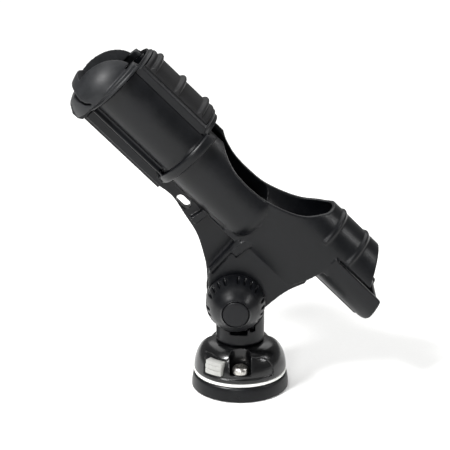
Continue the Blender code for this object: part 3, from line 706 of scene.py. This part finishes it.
    def button(self) -> bpy.types.Object:
        """Model the push button: a curved face with a stepped upper third."""
        half = self.button_w / 2
        low, high = self.button_z
        button = block("push_button", (-half, half), (-34.9, -24.5), self.button_z)
        skin = turned("skin", [(34.7, 10.0), (60.0, 10.0), (60.0, 40.0), (34.7, 40.0)], 144, True)
        step = turned("step", [(33.9, high - 2.6), (60.0, high - 2.6), (60.0, 40.0), (33.9, 40.0)], 144,
                      True)
        groove = turned("groove", [(34.2, low + 3.6), (60.0, low + 3.6), (60.0, low + 4.1),
                                   (34.2, low + 4.1)], 144, True)
        middle = sum(self.button_z) / 2
        spring_seat = rod("spring_seat", 3.3, (0.0, -27.2, middle), (0.0, -20.0, middle), 48)
        combine(button, Cut.TAKE, [skin, step, groove, spring_seat])
        bevelled(button, 0.35, 2, 35.0)
        return moved(button, (0.0, 0.0, -self.button_angle), (0.0, 0.0, 0.0))

    def screw(self, number: int) -> bpy.types.Object:
        """Turn one pan-head screw and cut its cross recess.

        Args:
            number: 1 for the screw at the front, then round.

        Returns:
            The screw in its hole.
        """
        seat = self.screw_seat + 0.3
        r, h = self.head_r, self.head_h
        crown = [(r - 0.25, seat), (r, seat + 0.3), (r, seat + 1.6)]
        crown += [(r * math.cos(t) ** 0.55, seat + 1.6 + (h - 1.65) * math.sin(t))
                  for t in (math.radians(a) for a in range(10, 86, 8))]
        screw = turned("deck_screw_%d" % number, [
            (0.0, 0.8), (1.6, 0.8), (2.4, 1.8), (2.4, seat), *crown, (0.0, seat + h - 0.05)], 64)
        tools = [block("slot", (-3.3, 3.3), (-0.62, 0.62), (seat + 3.0, seat + 8.0), turn + 0.6)
                 for turn in (0.0, math.radians(90.0))]
        tools.append(rod("well", 1.5, (0.0, 0.0, seat + 2.6), (0.0, 0.0, seat + 8.0), 4))
        combine(screw, Cut.TAKE, tools)
        bevelled(screw, 0.12, 2, 40.0)
        return self.at_screw(screw, number, 0.35 * number)

    def build(self, mats: Materials) -> None:
        """Build the base and hand every piece over.

        Args:
            mats: Materials by finish name.
        """
        for piece, slot, node, mat in (
                (self.foot(), "moulded_nylon", "base_foot", MOULDED_NYLON),
                (self.dome(), "gloss_nylon", "port_cover", POLISHED_NYLON),
                (self.seal(), "white_seal", "seal_ring", WHITE_SEAL)):
            settle(piece)
            if node == "seal_ring":
                pick(piece)
                bpy.ops.object.shade_smooth_by_angle(angle=math.radians(50.0))
            hand_over(piece, "port", slot, [node], mats[mat.name])
        for number in range(1, self.screws + 1):
            screw = self.screw(number)
            settle(screw)
            hand_over(screw, "port", "stainless_steel", ["mounting_screw_%d" % number],
                      mats[STAINLESS.name])
        button = self.button()
        settle(button)
        hand_over(button, "release", "grey_button", ["release_button"], mats[GREY_ACETAL.name])


# --------------------------------------------------------------------- post

@dataclass
class Pivot:
    """The clamp axis and what turns on it."""

    x: float = -3.6
    z: float = 73.2
    saddle_r: float = 25.5
    ear_r: float = 17.5
    ear_half: float = 8.7
    bolt_r: float = 4.0

    def across(self, name: str, radius: float, y0: float, y1: float,
               sides: int = 96) -> bpy.types.Object:
        """A cylinder on the clamp axis, in upright coordinates."""
        return rod(name, radius, (self.x, y0, self.z), (self.x, y1, self.z), sides)


@dataclass
class Post:
    """Neck, ear and spigot of the swivel post."""

    pivot: Pivot = field(default_factory=Pivot)
    neck_r: float = 17.8
    foot_z: float = 36.8
    spigot_r: float = 14.0

    def windows(self) -> List[bpy.types.Object]:
        """Cutters of the two index windows under the knob."""
        x, z = self.pivot.x, self.pivot.z
        return [block("window", (x - 4.0, x + 9.0), (-19.0, -9.0), (z - 27.4, z - 23.0)),
                block("window", (x + 10.5, x + 14.5), (-19.0, -9.0), (z - 25.6, z - 18.0))]

    def build(self, mats: Materials) -> None:
        """Model the post and hand it over.

        Args:
            mats: Materials by finish name.
        """
        top = self.foot_z
        r = self.spigot_r
        neck = turned("swivel_neck", [
            (0.0, 6.5), (r - 1.2, 6.5), (r, 7.7), (r, 11.0), (12.2, 11.0), (12.2, 14.5), (r, 14.5),
            (r, 28.0), (12.2, 28.0), (12.2, 30.4), (r, 30.4), (r, top), (self.neck_r - 0.9, top),
            (self.neck_r, top + 0.9), (self.neck_r, 70.0), (0.0, 70.0)], 128)
        combine(neck, Cut.TAKE, [self.pivot.across("saddle", self.pivot.saddle_r, -40.0, 40.0, 128)])
        half = self.pivot.ear_half
        ear = self.pivot.across("ear", self.pivot.ear_r, -half, half, 128)
        stalk = block("stalk", (self.pivot.x - 14.0, self.pivot.x + 14.0), (0.05 - half, half - 0.05),
                      (top + 4.0, self.pivot.z - 3.0))
        combine(neck, Cut.ADD, [ear, stalk])
        # index teeth on the rim of the ear, seen under the knob
        teeth = []
        for i in range(11):
            t = math.radians(180.0 + 18.0 * i)
            x, z = self.pivot.x + 17.9 * math.cos(t), self.pivot.z + 17.9 * math.sin(t)
            teeth.append(rod("tooth", 0.8, (x, -20.0, z), (x, 20.0, z), 12))
        combine(neck, Cut.TAKE, [self.pivot.across("bore", self.pivot.bolt_r + 0.4, -30.0, 30.0, 48),
                                 *teeth, *self.windows()])
        moulded(neck, 0.5, 2)
        settle(neck)
        hand_over(neck, "post", "moulded_nylon", ["swivel_post"], mats[MOULDED_NYLON.name])


# ------------------------------------------------------------------- cradle

@dataclass
class Tube:
    """The front tube's places, level: X is minus the length, Z the height."""

    axis: float = 105.5
    r: float = 27.0
    wall: float = 3.5
    end: float = 225.7
    slot_half: float = 15.0
    rear_axis: float = 125.6
    rear_r: float = 23.5
    rear_wall: float = 3.0
    ring_tip: float = math.radians(40.0)

    def disc(self, name: str, radius: float, a0: float, a1: float, sides: int = 128,
             rear: bool = False) -> bpy.types.Object:
        """A cylinder on a tube axis between two lengths."""
        u = self.rear_axis if rear else self.axis
        return rod(name, radius, (-a0, 0.0, u), (-a1, 0.0, u), sides)

    def ring(self, name: str, section: Sequence[Point], rear: bool = False,
             steps: int = 128) -> bpy.types.Object:
        """A ring on a tube axis from a section of (length, radius) points."""
        u = self.rear_axis if rear else self.axis
        ring = turned(name, [(r, a) for a, r in section], steps, True)
        return moved(ring, (0.0, math.radians(-90.0), 0.0), (0.0, 0.0, u))

    def tips(self, radius: float, a0: float, a1: float) -> bpy.types.Object:
        """Cutter that ends a ring of this radius in a taper on both sides of the slot."""
        top = self.axis + radius * math.sin(self.ring_tip)
        return Tube.plate("tips", [(a0 - 5.0, top + 1.8), (a1 + 5.0, top - 1.8), (a1 + 5.0, 190.0),
                                   (a0 - 5.0, 190.0)], -60.0, 60.0)

    @staticmethod
    def plate(name: str, outline: Sequence[Point], y0: float, y1: float) -> bpy.types.Object:
        """A flat solid from an outline of (length, height) points."""
        return plate(name, [(-a, u) for a, u in outline], y0, y1)


@dataclass
class Cradle:
    """The big moulding: tubes, flange ring, keel, web, cheeks and tail."""

    tube: Tube = field(default_factory=Tube)
    pivot: Pivot = field(default_factory=Pivot)
    ring_a: Point = (152.0, 159.2)
    ring_r: float = 32.5
    keel_half: float = 10.0
    cheek_out: float = 16.5
    cheek_in: float = 10.5
    boss_r: float = 21.5

    def tubes(self) -> bpy.types.Object:
        """Front tube with its rounded back end, deep middle shell and rear tube."""
        t = self.tube
        body = t.disc("cradle_moulding", t.r, 93.0, t.end)
        swell = ball("swell", (-93.0, 0.0, t.axis), (16.0, t.r - 0.05, t.r - 0.05), 96)
        shell = moved(oval("shell", (58.0, t.rear_r + 0.05), (31.5, 98.0), 128),
                      (0.0, math.radians(-90.0), 0.0), (0.0, 0.0, t.rear_axis))
        blend = ball("blend", (-31.6, 0.0, t.rear_axis), (22.0, t.rear_r, 57.9), 128)
        combine(shell, Cut.ADD, [blend])
        trim = Tube.plate("trim", [(0.0, 60.0), (110.0, 60.0), (110.0, 80.5), (47.0, 80.5),
                                   (38.0, 82.0), (33.5, 88.0), (29.5, 98.0), (26.5, 110.0), (0.0, 112.0)],
                          -60.0, 60.0)
        lid = Tube.plate("lid", [(0.0, 125.6), (120.0, 125.6), (120.0, 190.0), (0.0, 190.0)],
                         -60.0, 60.0)
        combine(shell, Cut.TAKE, [trim, lid])
        rear = t.disc("rear", t.rear_r, -12.0, 104.0, 128, True)
        trough = t.disc("trough", 24.6, -34.0, 27.5, 128, True)
        top = Tube.plate("top", [(-60.0, 125.0), (60.0, 125.0), (60.0, 190.0), (-60.0, 190.0)],
                         -60.0, 60.0)
        combine(trough, Cut.TAKE, [top])
        combine(body, Cut.ADD, [swell, shell, rear, trough])
        return body

    def rings(self) -> List[bpy.types.Object]:
        """Flange ring and the two ribs round the rear tube."""
        t = self.tube
        a0, a1 = self.ring_a
        r = self.ring_r
        flange = t.ring("flange", [(a0, 20.0), (a0, r - 1.6), (a0 + 0.7, r - 0.4), (a0 + 1.8, r),
                                   (a1 - 1.8, r), (a1 - 0.6, r - 0.5), (a1, r - 1.5), (a1, 20.0)])
        combine(flange, Cut.TAKE, [t.tips(r, a0, a1)])
        out = [flange]
        for a in (41.9, 18.7):
            rib = t.ring("rib", [(a - 2.6, 21.0), (a - 2.6, t.rear_r - 0.2), (a - 1.2, t.rear_r + 0.9),
                                 (a, t.rear_r + 1.4), (a + 1.2, t.rear_r + 0.9),
                                 (a + 2.6, t.rear_r - 0.2), (a + 2.6, 21.0)], True)
            under = Tube.plate("under", [(a - 8.0, 90.0), (a + 8.0, 90.0), (a + 8.0, 127.0),
                                         (a - 8.0, 127.0)], -60.0, 60.0)
            combine(rib, Cut.TAKE, [under])
            out.append(rib)
        return out

    def keel(self) -> List[bpy.types.Object]:
        """Stepped keel under the front tube and the stop rails beside it."""
        t = self.tube
        start = self.ring_a[0] + 0.5
        end = t.end - 0.1
        out = []
        wide = self.keel_half
        for half, low in ((wide, 71.0), (wide - 2.6, 68.6), (wide - 6.0, 68.0)):
            out.append(Tube.plate("keel", [(start, low), (end, low), (end, 86.0), (start, 86.0)],
                                  -half, half))
        for side in (-1.0, 1.0):
            rail = block("rail", (-end + 0.1, -self.ring_a[1] + 0.3), (-1.1, 1.1), (24.8, 31.0))
            turn = side * math.radians(90.0 + 58.0)
            out.append(moved(rail, (-turn, 0.0, 0.0), (0.0, 0.0, t.axis)))
        return out

    def web(self) -> List[bpy.types.Object]:
        """Web below the tubes, thin over all and thick by the pivot."""
        p = self.pivot
        front = curve_through([(-60.0, 157.5), (-49.5, 149.3), (-40.5, 135.2), (-31.9, 120.8),
                               (-27.3, 106.3), (-24.8, 93.8), (-23.9, 74.1)], 5)
        rear = curve_through([(19.0, 68.1), (27.4, 75.4), (35.5, 81.0), (43.9, 84.9), (55.0, 89.6)], 4)
        outline = front + [(-20.0, 60.0), (-3.6, 54.0), (12.0, 58.0)] + rear
        outline += [(52.0, 100.0), (10.0, 140.0), (-45.0, 175.0)]
        thin = plate("web", [to_level(x, z) for x, z in outline], -4.5, 4.5)
        inner = [(-23.2, 84.0), (-22.8, 94.6), (-1.0, 119.9), (7.0, 124.0), (20.0, 112.0), (36.0, 100.0)]
        cheek_edge = rear[:-3] + [(52.0, 95.0)]
        outline = inner + cheek_edge[::-1] + [(17.0, 66.0), (-3.6, 66.0), (-22.0, 74.0)]
        thick = plate("cheeks", [to_level(x, z) for x, z in outline], -self.cheek_out, self.cheek_out)
        centre = to_level(p.x, p.z)
        boss = rod("boss", self.boss_r, (centre[0], -self.cheek_out - 0.03, centre[1]),
                   (centre[0], self.cheek_out + 0.03, centre[1]), 128)
        bead = self.cheek_out - 1.2
        edges = [rod("edge", 2.1, (-82.6, side * bead, 52.0), (-84.6, side * bead, 84.0), 32)
                 for side in (-1.0, 1.0)]
        ribs = [Tube.plate("rib", [(120.2, 68.8), (116.8, 85.6), (112.4, 85.6), (114.2, 68.0)],
                           -self.keel_half, self.keel_half),
                Tube.plate("rib", [(83.5, 73.7), (82.8, 85.2), (80.6, 90.0), (77.0, 93.3),
                                   (76.6, 85.0), (78.3, 73.5)], -18.2, 18.2),
                Tube.plate("ledge", [(112.5, 81.2), (112.5, 83.2), (82.0, 85.4), (82.0, 83.0)],
                           -14.0, 14.0)]
        return [thin, thick, boss, *edges, *ribs]

    def bores(self) -> List[bpy.types.Object]:
        """Inside of the tubes, with a smooth step between their two axes."""
        t = self.tube
        front = t.disc("front_bore", t.r - t.wall, 93.0, 260.0)
        end = ball("end_bore", (-93.0, 0.0, t.axis), (12.5, t.r - t.wall - 0.05, t.r - t.wall - 0.05), 96)
        rear = t.disc("rear_bore", t.rear_r - t.rear_wall, -60.0, 120.0, 128, True)
        return [front, end, rear]

    def openings(self) -> List[bpy.types.Object]:
        """Everything that is cut through the walls."""
        t = self.tube
        p = self.pivot
        rim = curve_through([(144.3, 127.1), (137.5, 123.2), (125.0, 119.2), (110.0, 118.2),
                             (94.0, 119.6), (77.0, 125.3), (65.7, 131.5), (58.0, 139.2),
                             (54.3, 143.1), (52.6, 147.0)], 5)
        opening = Tube.plate("opening", [(144.3, 180.0), *rim, (52.0, 180.0)], -60.0, 60.0)
        slot = Tube.plate("slot", [(140.0, 112.0), (260.0, 112.0), (260.0, 170.0), (140.0, 170.0)],
                          -t.slot_half, t.slot_half)
        slant = Tube.plate("slant", [(-80.0, 125.9), (-6.3, 125.9), (6.0, 148.6), (14.0, 163.4),
                                     (-80.0, 163.4)], -60.0, 60.0)
        slit = Tube.plate("slit", [(-80.0, 124.4), (24.0, 124.4), (26.4, 125.2), (24.0, 126.0),
                                   (-80.0, 126.0)], -60.0, 60.0)
        tail = curve_through([(-15.2, 126.6), (-18.4, 124.8), (-20.6, 120.0), (-24.3, 108.5),
                              (-23.6, 104.5), (-21.0, 101.5), (-20.0, 98.0)], 5)
        tail_end = Tube.plate("tail_end", [(-14.0, 127.4), *tail, (-80.0, 95.0), (-80.0, 127.4)],
                              -60.0, 60.0)
        centre = to_level(p.x, p.z)
        fork = rod("fork", 22.6, (centre[0], -self.cheek_in, centre[1]),
                   (centre[0], self.cheek_in, centre[1]), 128)
        below = plate("below", [to_level(p.x + x, p.z + z) for x, z in
                                [(-26.0, -32.0), (20.0, -32.0), (20.0, -14.0), (-26.0, -14.0)]],
                      -self.cheek_in + 0.02, self.cheek_in - 0.02)
        bolt = rod("bolt", p.bolt_r + 0.3, (centre[0], -40.0, centre[1]), (centre[0], 40.0, centre[1]), 48)
        hole = to_level(-41.2, 144.8)
        eye = [rod("eye", 3.1, (hole[0] + dx, -30.0, hole[1]), (hole[0] + dx, 30.0, hole[1]), 48)
               for dx in (-3.0, 3.0)]
        eye.append(block("eye", (hole[0] - 3.0, hole[0] + 3.0), (-30.0, 30.0),
                         (hole[1] - 3.09, hole[1] + 3.09)))
        return [opening, slot, slant, slit, tail_end, fork, below, bolt, *eye]

    def build(self, mats: Materials) -> None:
        """Build the moulding and hand it over.

        Args:
            mats: Materials by finish name.
        """
        t = self.tube
        body = self.tubes()
        combine(body, Cut.ADD, self.rings() + self.keel() + self.web())
        combine(body, Cut.TAKE, self.bores())
        stop = t.disc("butt_stop", 21.6, -15.6, -12.4, 96, True)
        rib = Tube.plate("tail_rib", [(-19.2, 99.9), (24.0, 99.9), (26.0, 103.2), (-19.2, 103.2)],
                         -2.2, 2.2)
        combine(body, Cut.ADD, [stop, rib])
        combine(body, Cut.TAKE, self.openings())
        track = t.ring("track", [(156.8, 27.5), (156.8, 29.9), (162.0, 29.9), (162.0, 27.5)])
        combine(body, Cut.TAKE, [track])
        moulded(body, 0.7, 2)
        settle(body, Pose.TILTED)
        hand_over(body, "cradle", "moulded_nylon", ["holder_body"], mats[MOULDED_NYLON.name])


@dataclass
class Nose:
    """Front moulding: two petals, the flange behind them and the lower lip."""

    tube: Tube = field(default_factory=Tube)
    start: float = 226.0
    radii: Triple = (24.0, 29.5, 31.0)
    axis: float = 95.5

    def build(self, mats: Materials) -> None:
        """Build the nose and hand it over.

        Args:
            mats: Materials by finish name.
        """
        t = self.tube
        a0 = self.start
        nose = ball("nose_moulding", (-a0 - 2.0, 0.0, self.axis), self.radii, 96)
        back = Tube.plate("back", [(150.0, 20.0), (a0 + 3.2, 20.0), (a0 + 3.2, 180.0), (150.0, 180.0)],
                          -60.0, 60.0)
        combine(nose, Cut.TAKE, [back])
        flange = t.ring("flange", [(a0, 20.0), (a0, 30.3), (a0 + 0.6, 31.0), (a0 + 1.6, 31.1),
                                   (a0 + 2.3, 30.3), (a0 + 2.9, 30.2), (a0 + 3.6, 30.8),
                                   (a0 + 4.6, 30.2), (a0 + 5.0, 28.5), (a0 + 5.0, 20.0)])
        combine(flange, Cut.TAKE, [t.tips(31.0, a0, a0 + 5.0)])
        lip = Tube.plate("lip", [(a0, 68.4), (a0 + 3.0, 66.5), (a0 + 8.0, 66.2), (a0 + 13.0, 69.4),
                                 (a0 + 15.6, 74.9), (a0 + 14.6, 84.0), (a0, 84.0)], -11.0, 11.0)
        combine(nose, Cut.ADD, [flange, lip])
        bore = t.disc("bore", t.r - t.wall, 200.0, a0 + 5.8)
        slot = Tube.plate("slot", [(200.0, 88.0), (300.0, 88.0), (300.0, 180.0), (200.0, 180.0)],
                          -t.slot_half, t.slot_half)
        gap = Tube.plate("gap", [(231.0, 84.5), (233.6, 80.3), (238.0, 78.3), (242.6, 77.2),
                                 (241.6, 72.0), (238.6, 67.5), (236.0, 60.0), (262.0, 60.0),
                                 (262.0, 78.9), (238.4, 79.9), (234.6, 81.8), (232.0, 85.2)],
                         -60.0, 60.0)
        track = t.ring("track", [(224.0, 27.9), (224.0, 29.5), (228.0, 29.5), (228.0, 27.9)])
        combine(nose, Cut.TAKE, [bore, slot, gap, track])
        moulded(nose, 0.5, 1)
        settle(nose, Pose.TILTED)
        # the nose gets the lighter grey nylon, whose lighter tone is painted light
        hand_over(nose, "cradle", "moulded_nylon", ["nose_cap"], mats[NOSE_NYLON_PAINTED_LIGHT.name])


@dataclass
class Collar:
    """Turning collar over the slot, with its ribbed pad."""

    tube: Tube = field(default_factory=Tube)
    a0: float = 161.3
    a1: float = 225.2
    side: float = 22.1
    ribs: Tuple[float, ...] = (171.5, 194.0, 216.5)

    def trim(self, part: bpy.types.Object) -> None:
        """Keep only the top of a ring, between the two flat sides."""
        tools = [block("side", (-300.0, -100.0), (self.side, 60.0), (60.0, 200.0)),
                 block("side", (-300.0, -100.0), (-60.0, -self.side), (60.0, 200.0)),
                 block("under", (-300.0, -100.0), (-59.0, 59.0), (50.0, 112.0))]
        combine(part, Cut.TAKE, tools)

    def build(self, mats: Materials) -> None:
        """Build the shell and the pad and hand them over.

        Args:
            mats: Materials by finish name.
        """
        t = self.tube
        a0, a1 = self.a0, self.a1
        inner = t.r + 0.4
        shell = t.ring("collar_shell", [
            (a0, inner), (a0, 28.2), (158.0, 28.2), (158.0, 29.2), (a0, 29.2), (a0, 30.2),
            (a0 + 0.8, 31.0), (a1 - 0.8, 31.0), (a1, 30.2), (a1, 29.2), (227.4, 29.2), (227.4, 28.2),
            (a1, 28.2), (a1, inner)])
        seat = t.ring("seat", [(163.2, 29.6), (163.2, 40.0), (223.8, 40.0), (223.8, 29.6)])
        rims = [block("rim", (-300.0, -100.0), (self.side - 2.4, 60.0), (60.0, 200.0)),
                block("rim", (-300.0, -100.0), (-60.0, 2.4 - self.side), (60.0, 200.0))]
        combine(seat, Cut.TAKE, rims)
        combine(shell, Cut.TAKE, [seat])
        self.trim(shell)
        mark = block("mark", (-193.9, -193.5), (-60.0, -self.side + 0.35), (60.0, 200.0))
        combine(shell, Cut.TAKE, [mark])
        moulded(shell, 0.4, 2)
        settle(shell, Pose.TILTED)
        hand_over(shell, "collar", "moulded_nylon", ["locking_collar"], mats[MOULDED_NYLON.name])
        section: List[Point] = [(163.5, 29.9), (163.5, 30.6), (164.2, 31.6), (165.6, 32.0)]
        for a in self.ribs:
            section += [(a - 2.6, 31.3), (a - 1.9, 31.9), (a - 1.5, 33.0), (a - 0.8, 33.7), (a, 33.8),
                        (a + 0.8, 33.7), (a + 1.5, 33.0), (a + 1.9, 31.9), (a + 2.6, 31.3)]
        section += [(221.4, 32.0), (222.8, 31.6), (223.5, 30.6), (223.5, 29.9)]
        pad = t.ring("collar_pad", section)
        rims = [block("rim", (-300.0, -100.0), (self.side - 2.7, 60.0), (60.0, 200.0)),
                block("rim", (-300.0, -100.0), (-60.0, 2.7 - self.side), (60.0, 200.0)),
                block("under", (-300.0, -100.0), (-59.0, 59.0), (50.0, 112.0))]
        combine(pad, Cut.TAKE, rims)
        moulded(pad, 0.4, 2)
        settle(pad, Pose.TILTED)
        hand_over(pad, "collar", "grip_rubber", ["collar_grip"], mats[GRIP_RUBBER.name])


# --------------------------------------------------------------------- knob

@dataclass
class ClampKnob:
    """Round knob with five groups of finger slots, and its cap."""

    pivot: Pivot = field(default_factory=Pivot)
    back: float = 19.6
    front: float = 44.4
    r: float = 21.7
    cap_r: float = 9.3
    groups: int = 5
    slots: int = 4
    first: float = 62.0
    pitch: float = 14.5

    def place(self, part: bpy.types.Object) -> bpy.types.Object:
        """Stand a piece that was turned about Z on the clamp axis."""
        return moved(part, (math.radians(90.0), 0.0, 0.0), (self.pivot.x, 0.0, self.pivot.z))

    def build(self, mats: Materials) -> None:
        """Build the knob and its cap and hand them over.

        Args:
            mats: Materials by finish name.
        """
        b, f = self.back, self.front
        crown = curve_through([(20.3, 19.6), (21.4, 20.4), (21.7, 21.6), (21.3, 24.0), (20.0, 28.0),
                               (18.4, 32.0), (16.3, 36.0), (13.7, 39.5), (11.6, 42.0), (10.6, 43.4)], 4)
        knob = turned("clamp_wheel", [
            (7.3, b), *crown, (10.2, f), (self.cap_r + 0.6, f - 0.1), (self.cap_r + 0.35, f - 1.0),
            (self.cap_r + 0.35, f - 3.6), (7.3, f - 3.6)], 144, True)
        tools = []
        lean = math.radians(-19.0)
        for group in range(self.groups):
            for slot in range(self.slots):
                angle = math.radians(self.first + 72.0 * group + self.pitch * (slot - 1.5))
                drop = ball("drop", (0.0, 0.0, 0.0), (2.0, 1.3, 4.4), 16)
                moved(drop, (0.0, lean, 0.0), (20.1, 0.0, b + 7.9))
                tools.append(moved(drop, (0.0, 0.0, angle), (0.0, 0.0, 0.0)))
        combine(knob, Cut.TAKE, tools)
        moulded(knob, 0.35, 1)
        self.place(knob)
        settle(knob)
        hand_over(knob, "knob", "moulded_nylon", ["tilt_knob"], mats[MOULDED_NYLON.name])
        c = self.cap_r
        crown = [(c * math.cos(t), f - 0.2 + 0.95 * math.sin(t))
                 for t in (math.radians(a) for a in range(8, 86, 11))]
        cap = turned("knob_plug", [(0.0, f - 3.2), (c, f - 3.2), (c, f - 0.6), *crown, (0.0, f + 0.78)], 96)
        bevelled(cap, 0.2, 2, 40.0)
        self.place(cap)
        settle(cap)
        hand_over(cap, "knob", "moulded_nylon", ["knob_cap"], mats[MOULDED_NYLON.name])


# ------------------------------------------------------------------- studio

@dataclass
class Studio:
    """Pale floor, soft lamps and the camera."""

    aim: Triple = (-0.0112, 0.0, 0.1254)
    distance: float = 1.3
    elevation: float = math.radians(19.5)
    focal_pixels: float = 1789.1
    frame_pixels: float = 450.0

    def floor(self) -> None:
        """Lay the flat floor."""
        bpy.ops.object.select_all(action="DESELECT")
        bpy.ops.mesh.primitive_plane_add(size=8.0, location=(0.0, 0.0, -0.0004))
        floor = added("studio_floor")
        tone = Finish("matt_paper", "#f6f6f5", "#f1f1f0", 0.8, grain_mm=4.0, blotch_mm=300.0)
        dress(floor, tone.material())

    def lamp(self, name: str, place: Triple, size: float, watts: float,
             target: Triple = (-0.03, 0.0, 0.14)) -> None:
        """Add one square soft lamp that faces the object."""
        bpy.ops.object.light_add(type="AREA", location=place)
        lamp = bpy.context.object
        lamp.name = name
        lamp.data.size = size
        lamp.data.energy = watts
        lamp.rotation_euler = (Vector(target) - Vector(place)).to_track_quat("-Z", "Y").to_euler()

    def build(self) -> None:
        """Set the stage, the world, the lamps and the camera."""
        self.floor()
        world = bpy.data.worlds.new("studio_air")
        bpy.context.scene.world = world
        bpy.context.scene.view_settings.view_transform = "Standard"
        world.use_nodes = True
        world.node_tree.nodes["Background"].inputs["Color"].default_value = linear("#fbfbfb")
        world.node_tree.nodes["Background"].inputs["Strength"].default_value = 0.26
        self.lamp("overhead", (0.1, 1.3, 2.4), 3.4, 66.0)
        self.lamp("key", (-0.75, -0.7, 1.3), 0.35, 36.0)
        self.lamp("front", (-0.3, -1.6, 0.75), 0.35, 10.0)
        self.lamp("fill", (1.3, -0.3, 0.9), 0.3, 6.0)
        flat = self.distance * math.cos(self.elevation)
        place = (self.aim[0], self.aim[1] - flat, self.aim[2] + self.distance * math.sin(self.elevation))
        bpy.ops.object.camera_add(location=place)
        camera = bpy.context.object
        camera.rotation_euler = Euler((math.radians(90.0) - self.elevation, 0.0, 0.0))
        camera.data.sensor_width = 36.0
        camera.data.lens = self.focal_pixels * 36.0 / self.frame_pixels
        camera.data.clip_start = 0.05
        bpy.context.scene.camera = camera


def dress_hidden(mats: Materials) -> None:
    """Give the CAD nodes that stay their better materials.

    Args:
        mats: Materials by finish name.
    """
    kept = {
        SEAL_RUBBER: ("deck_gasket", "spigot_seal"),
        GRIP_RUBBER: ("friction_disc_near", "friction_disc_far"),
        STAINLESS: ("latch_plate", "latch_spring", "knob_washer", "bolt_washer", "pivot_bolt"),
        BRASS: ("knob_insert",),
    }
    for finish, nodes in kept.items():
        for node in nodes:
            dress(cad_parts[node], mats[finish.name])
            LOG.info("%s: %s", node, finish.name)


def main() -> None:
    """Build every sub-assembly in order."""
    logging.basicConfig(level=logging.INFO, format="%(name)s %(message)s")
    finishes = (MOULDED_NYLON, NOSE_NYLON_PAINTED_LIGHT, POLISHED_NYLON, GRIP_RUBBER, SEAL_RUBBER,
                WHITE_SEAL, GREY_ACETAL, STAINLESS, BRASS)
    mats = {finish.name: finish.material() for finish in finishes}
    Base().build(mats)
    Post().build(mats)
    Cradle().build(mats)
    Nose().build(mats)
    Collar().build(mats)
    ClampKnob().build(mats)
    dress_hidden(mats)
    Studio().build()


if __name__ == "__main__":
    main()
